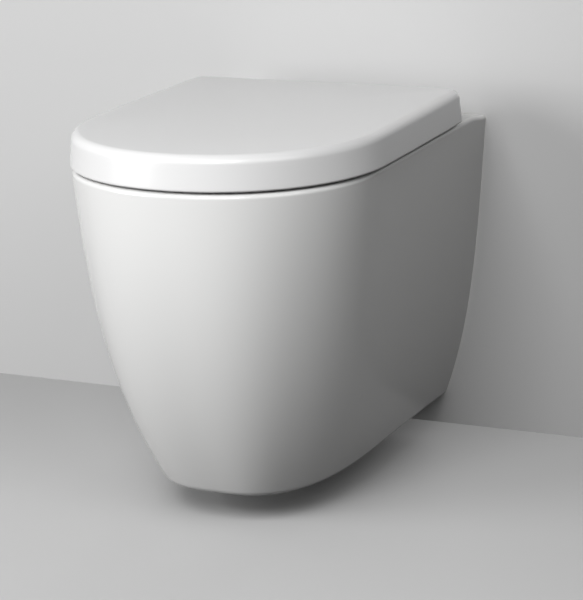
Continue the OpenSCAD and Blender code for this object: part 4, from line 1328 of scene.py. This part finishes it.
def area_lamp(name, place, aim, size, power):
    """Square soft lamp that faces a point."""
    lamp = bpy.data.lights.new(name, "AREA")
    lamp.shape = "SQUARE"
    lamp.size = size
    lamp.energy = power
    holder = new_object(name, lamp)
    holder.location = place
    holder.rotation_mode = "QUATERNION"
    holder.rotation_quaternion = (aim - place).to_track_quat("-Z", "Y")


class TOILET_OT_stage(bpy.types.Operator):
    """Set the floor, the wall, the lamps and the camera"""

    bl_idname = "toilet.stage"
    bl_label = "Stage"

    def execute(self, context):
        stage = context.scene.toilet_stage
        floor_z = PAN_HIGH.z - stage.rim_above_floor
        for name, near, far, colour in (
            ("floor", (-STAGE_REACH, floor_z), (WALL_GAP, floor_z), stage.floor),
            ("backdrop", (WALL_GAP, floor_z), (WALL_GAP, WALL_TOP), stage.wall),
        ):
            stage_plane(name, near, far, colour, stage.distance_seen)
        aim = Vector(stage.lamp_aim)
        for name, azimuth, elevation, power in (
            ("key", 5, 40, stage.key_power),
            ("left", -45, 15, stage.left_power),
            ("right", 55, 40, stage.right_power),
            ("back", 180, 10, stage.back_power),
        ):
            place = aim + bearing(azimuth, elevation) * stage.lamp_distance
            area_lamp(name, place, aim, stage.lamp_size, power)

        world = bpy.data.worlds.new("sky")
        world.use_nodes = True
        tree = world.node_tree
        strength = seen_rays(tree) * (stage.distance_seen - stage.sky) + stage.sky
        set_inputs(tree, tree.nodes["Background"], Color=(1, 1, 1, 1), Strength=strength)
        context.scene.world = world
        context.scene.view_settings.view_transform = "Standard"

        camera = bpy.data.cameras.new("camera")
        camera.lens = stage.lens
        camera.clip_end = 50
        holder = new_object("camera", camera)
        holder.matrix_world = (
            Matrix.Translation(stage.camera_place)
            @ Matrix.Rotation(stage.camera_azimuth, 4, "Z")
            @ Matrix.Rotation(QUARTER - stage.camera_down, 4, "X")
            @ Matrix.Rotation(stage.camera_roll, 4, "Z")
        )
        context.scene.camera = holder
        return {"FINISHED"}


class TOILET_PT_sidebar(bpy.types.Panel):
    """Steps that build the toilet, in order"""

    bl_idname = "TOILET_PT_sidebar"
    bl_label = "Wall Hung Toilet"
    bl_space_type = "VIEW_3D"
    bl_region_type = "UI"
    bl_category = "Toilet"

    def draw(self, context):
        for step in STEPS:
            self.layout.operator(step.bl_idname)
        for name, kind in GROUPS.items():
            box = self.layout.box()
            for value in kind.__annotations__:
                box.prop(getattr(context.scene, name), value)


STEPS = (
    TOILET_OT_pan, TOILET_OT_lid, TOILET_OT_seat, TOILET_OT_bumpers, TOILET_OT_hinges,
    TOILET_OT_brackets, TOILET_OT_small_parts, TOILET_OT_stage,
)
GROUPS = {
    "toilet_pan": PanProperties, "toilet_lid": LidProperties,
    "toilet_finish": FinishProperties, "toilet_stage": StageProperties,
}


def register():
    """Register the property groups, the steps and the panel."""
    for group in GROUPS.values():
        bpy.utils.register_class(group)
    for name, group in GROUPS.items():
        setattr(bpy.types.Scene, name, bpy.props.PointerProperty(type=group))
    for step in STEPS:
        bpy.utils.register_class(step)
    bpy.utils.register_class(TOILET_PT_sidebar)


def unregister():
    """Remove what register added."""
    bpy.utils.unregister_class(TOILET_PT_sidebar)
    for step in reversed(STEPS):
        bpy.utils.unregister_class(step)
    for name, group in GROUPS.items():
        delattr(bpy.types.Scene, name)
        bpy.utils.unregister_class(group)


def main():
    """Build everything."""
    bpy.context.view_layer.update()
    register()
    for step in STEPS:
        group, name = step.bl_idname.split(".")
        getattr(getattr(bpy.ops, group), name)()
    bpy.context.view_layer.update()


if __name__ == "__main__":
    main()
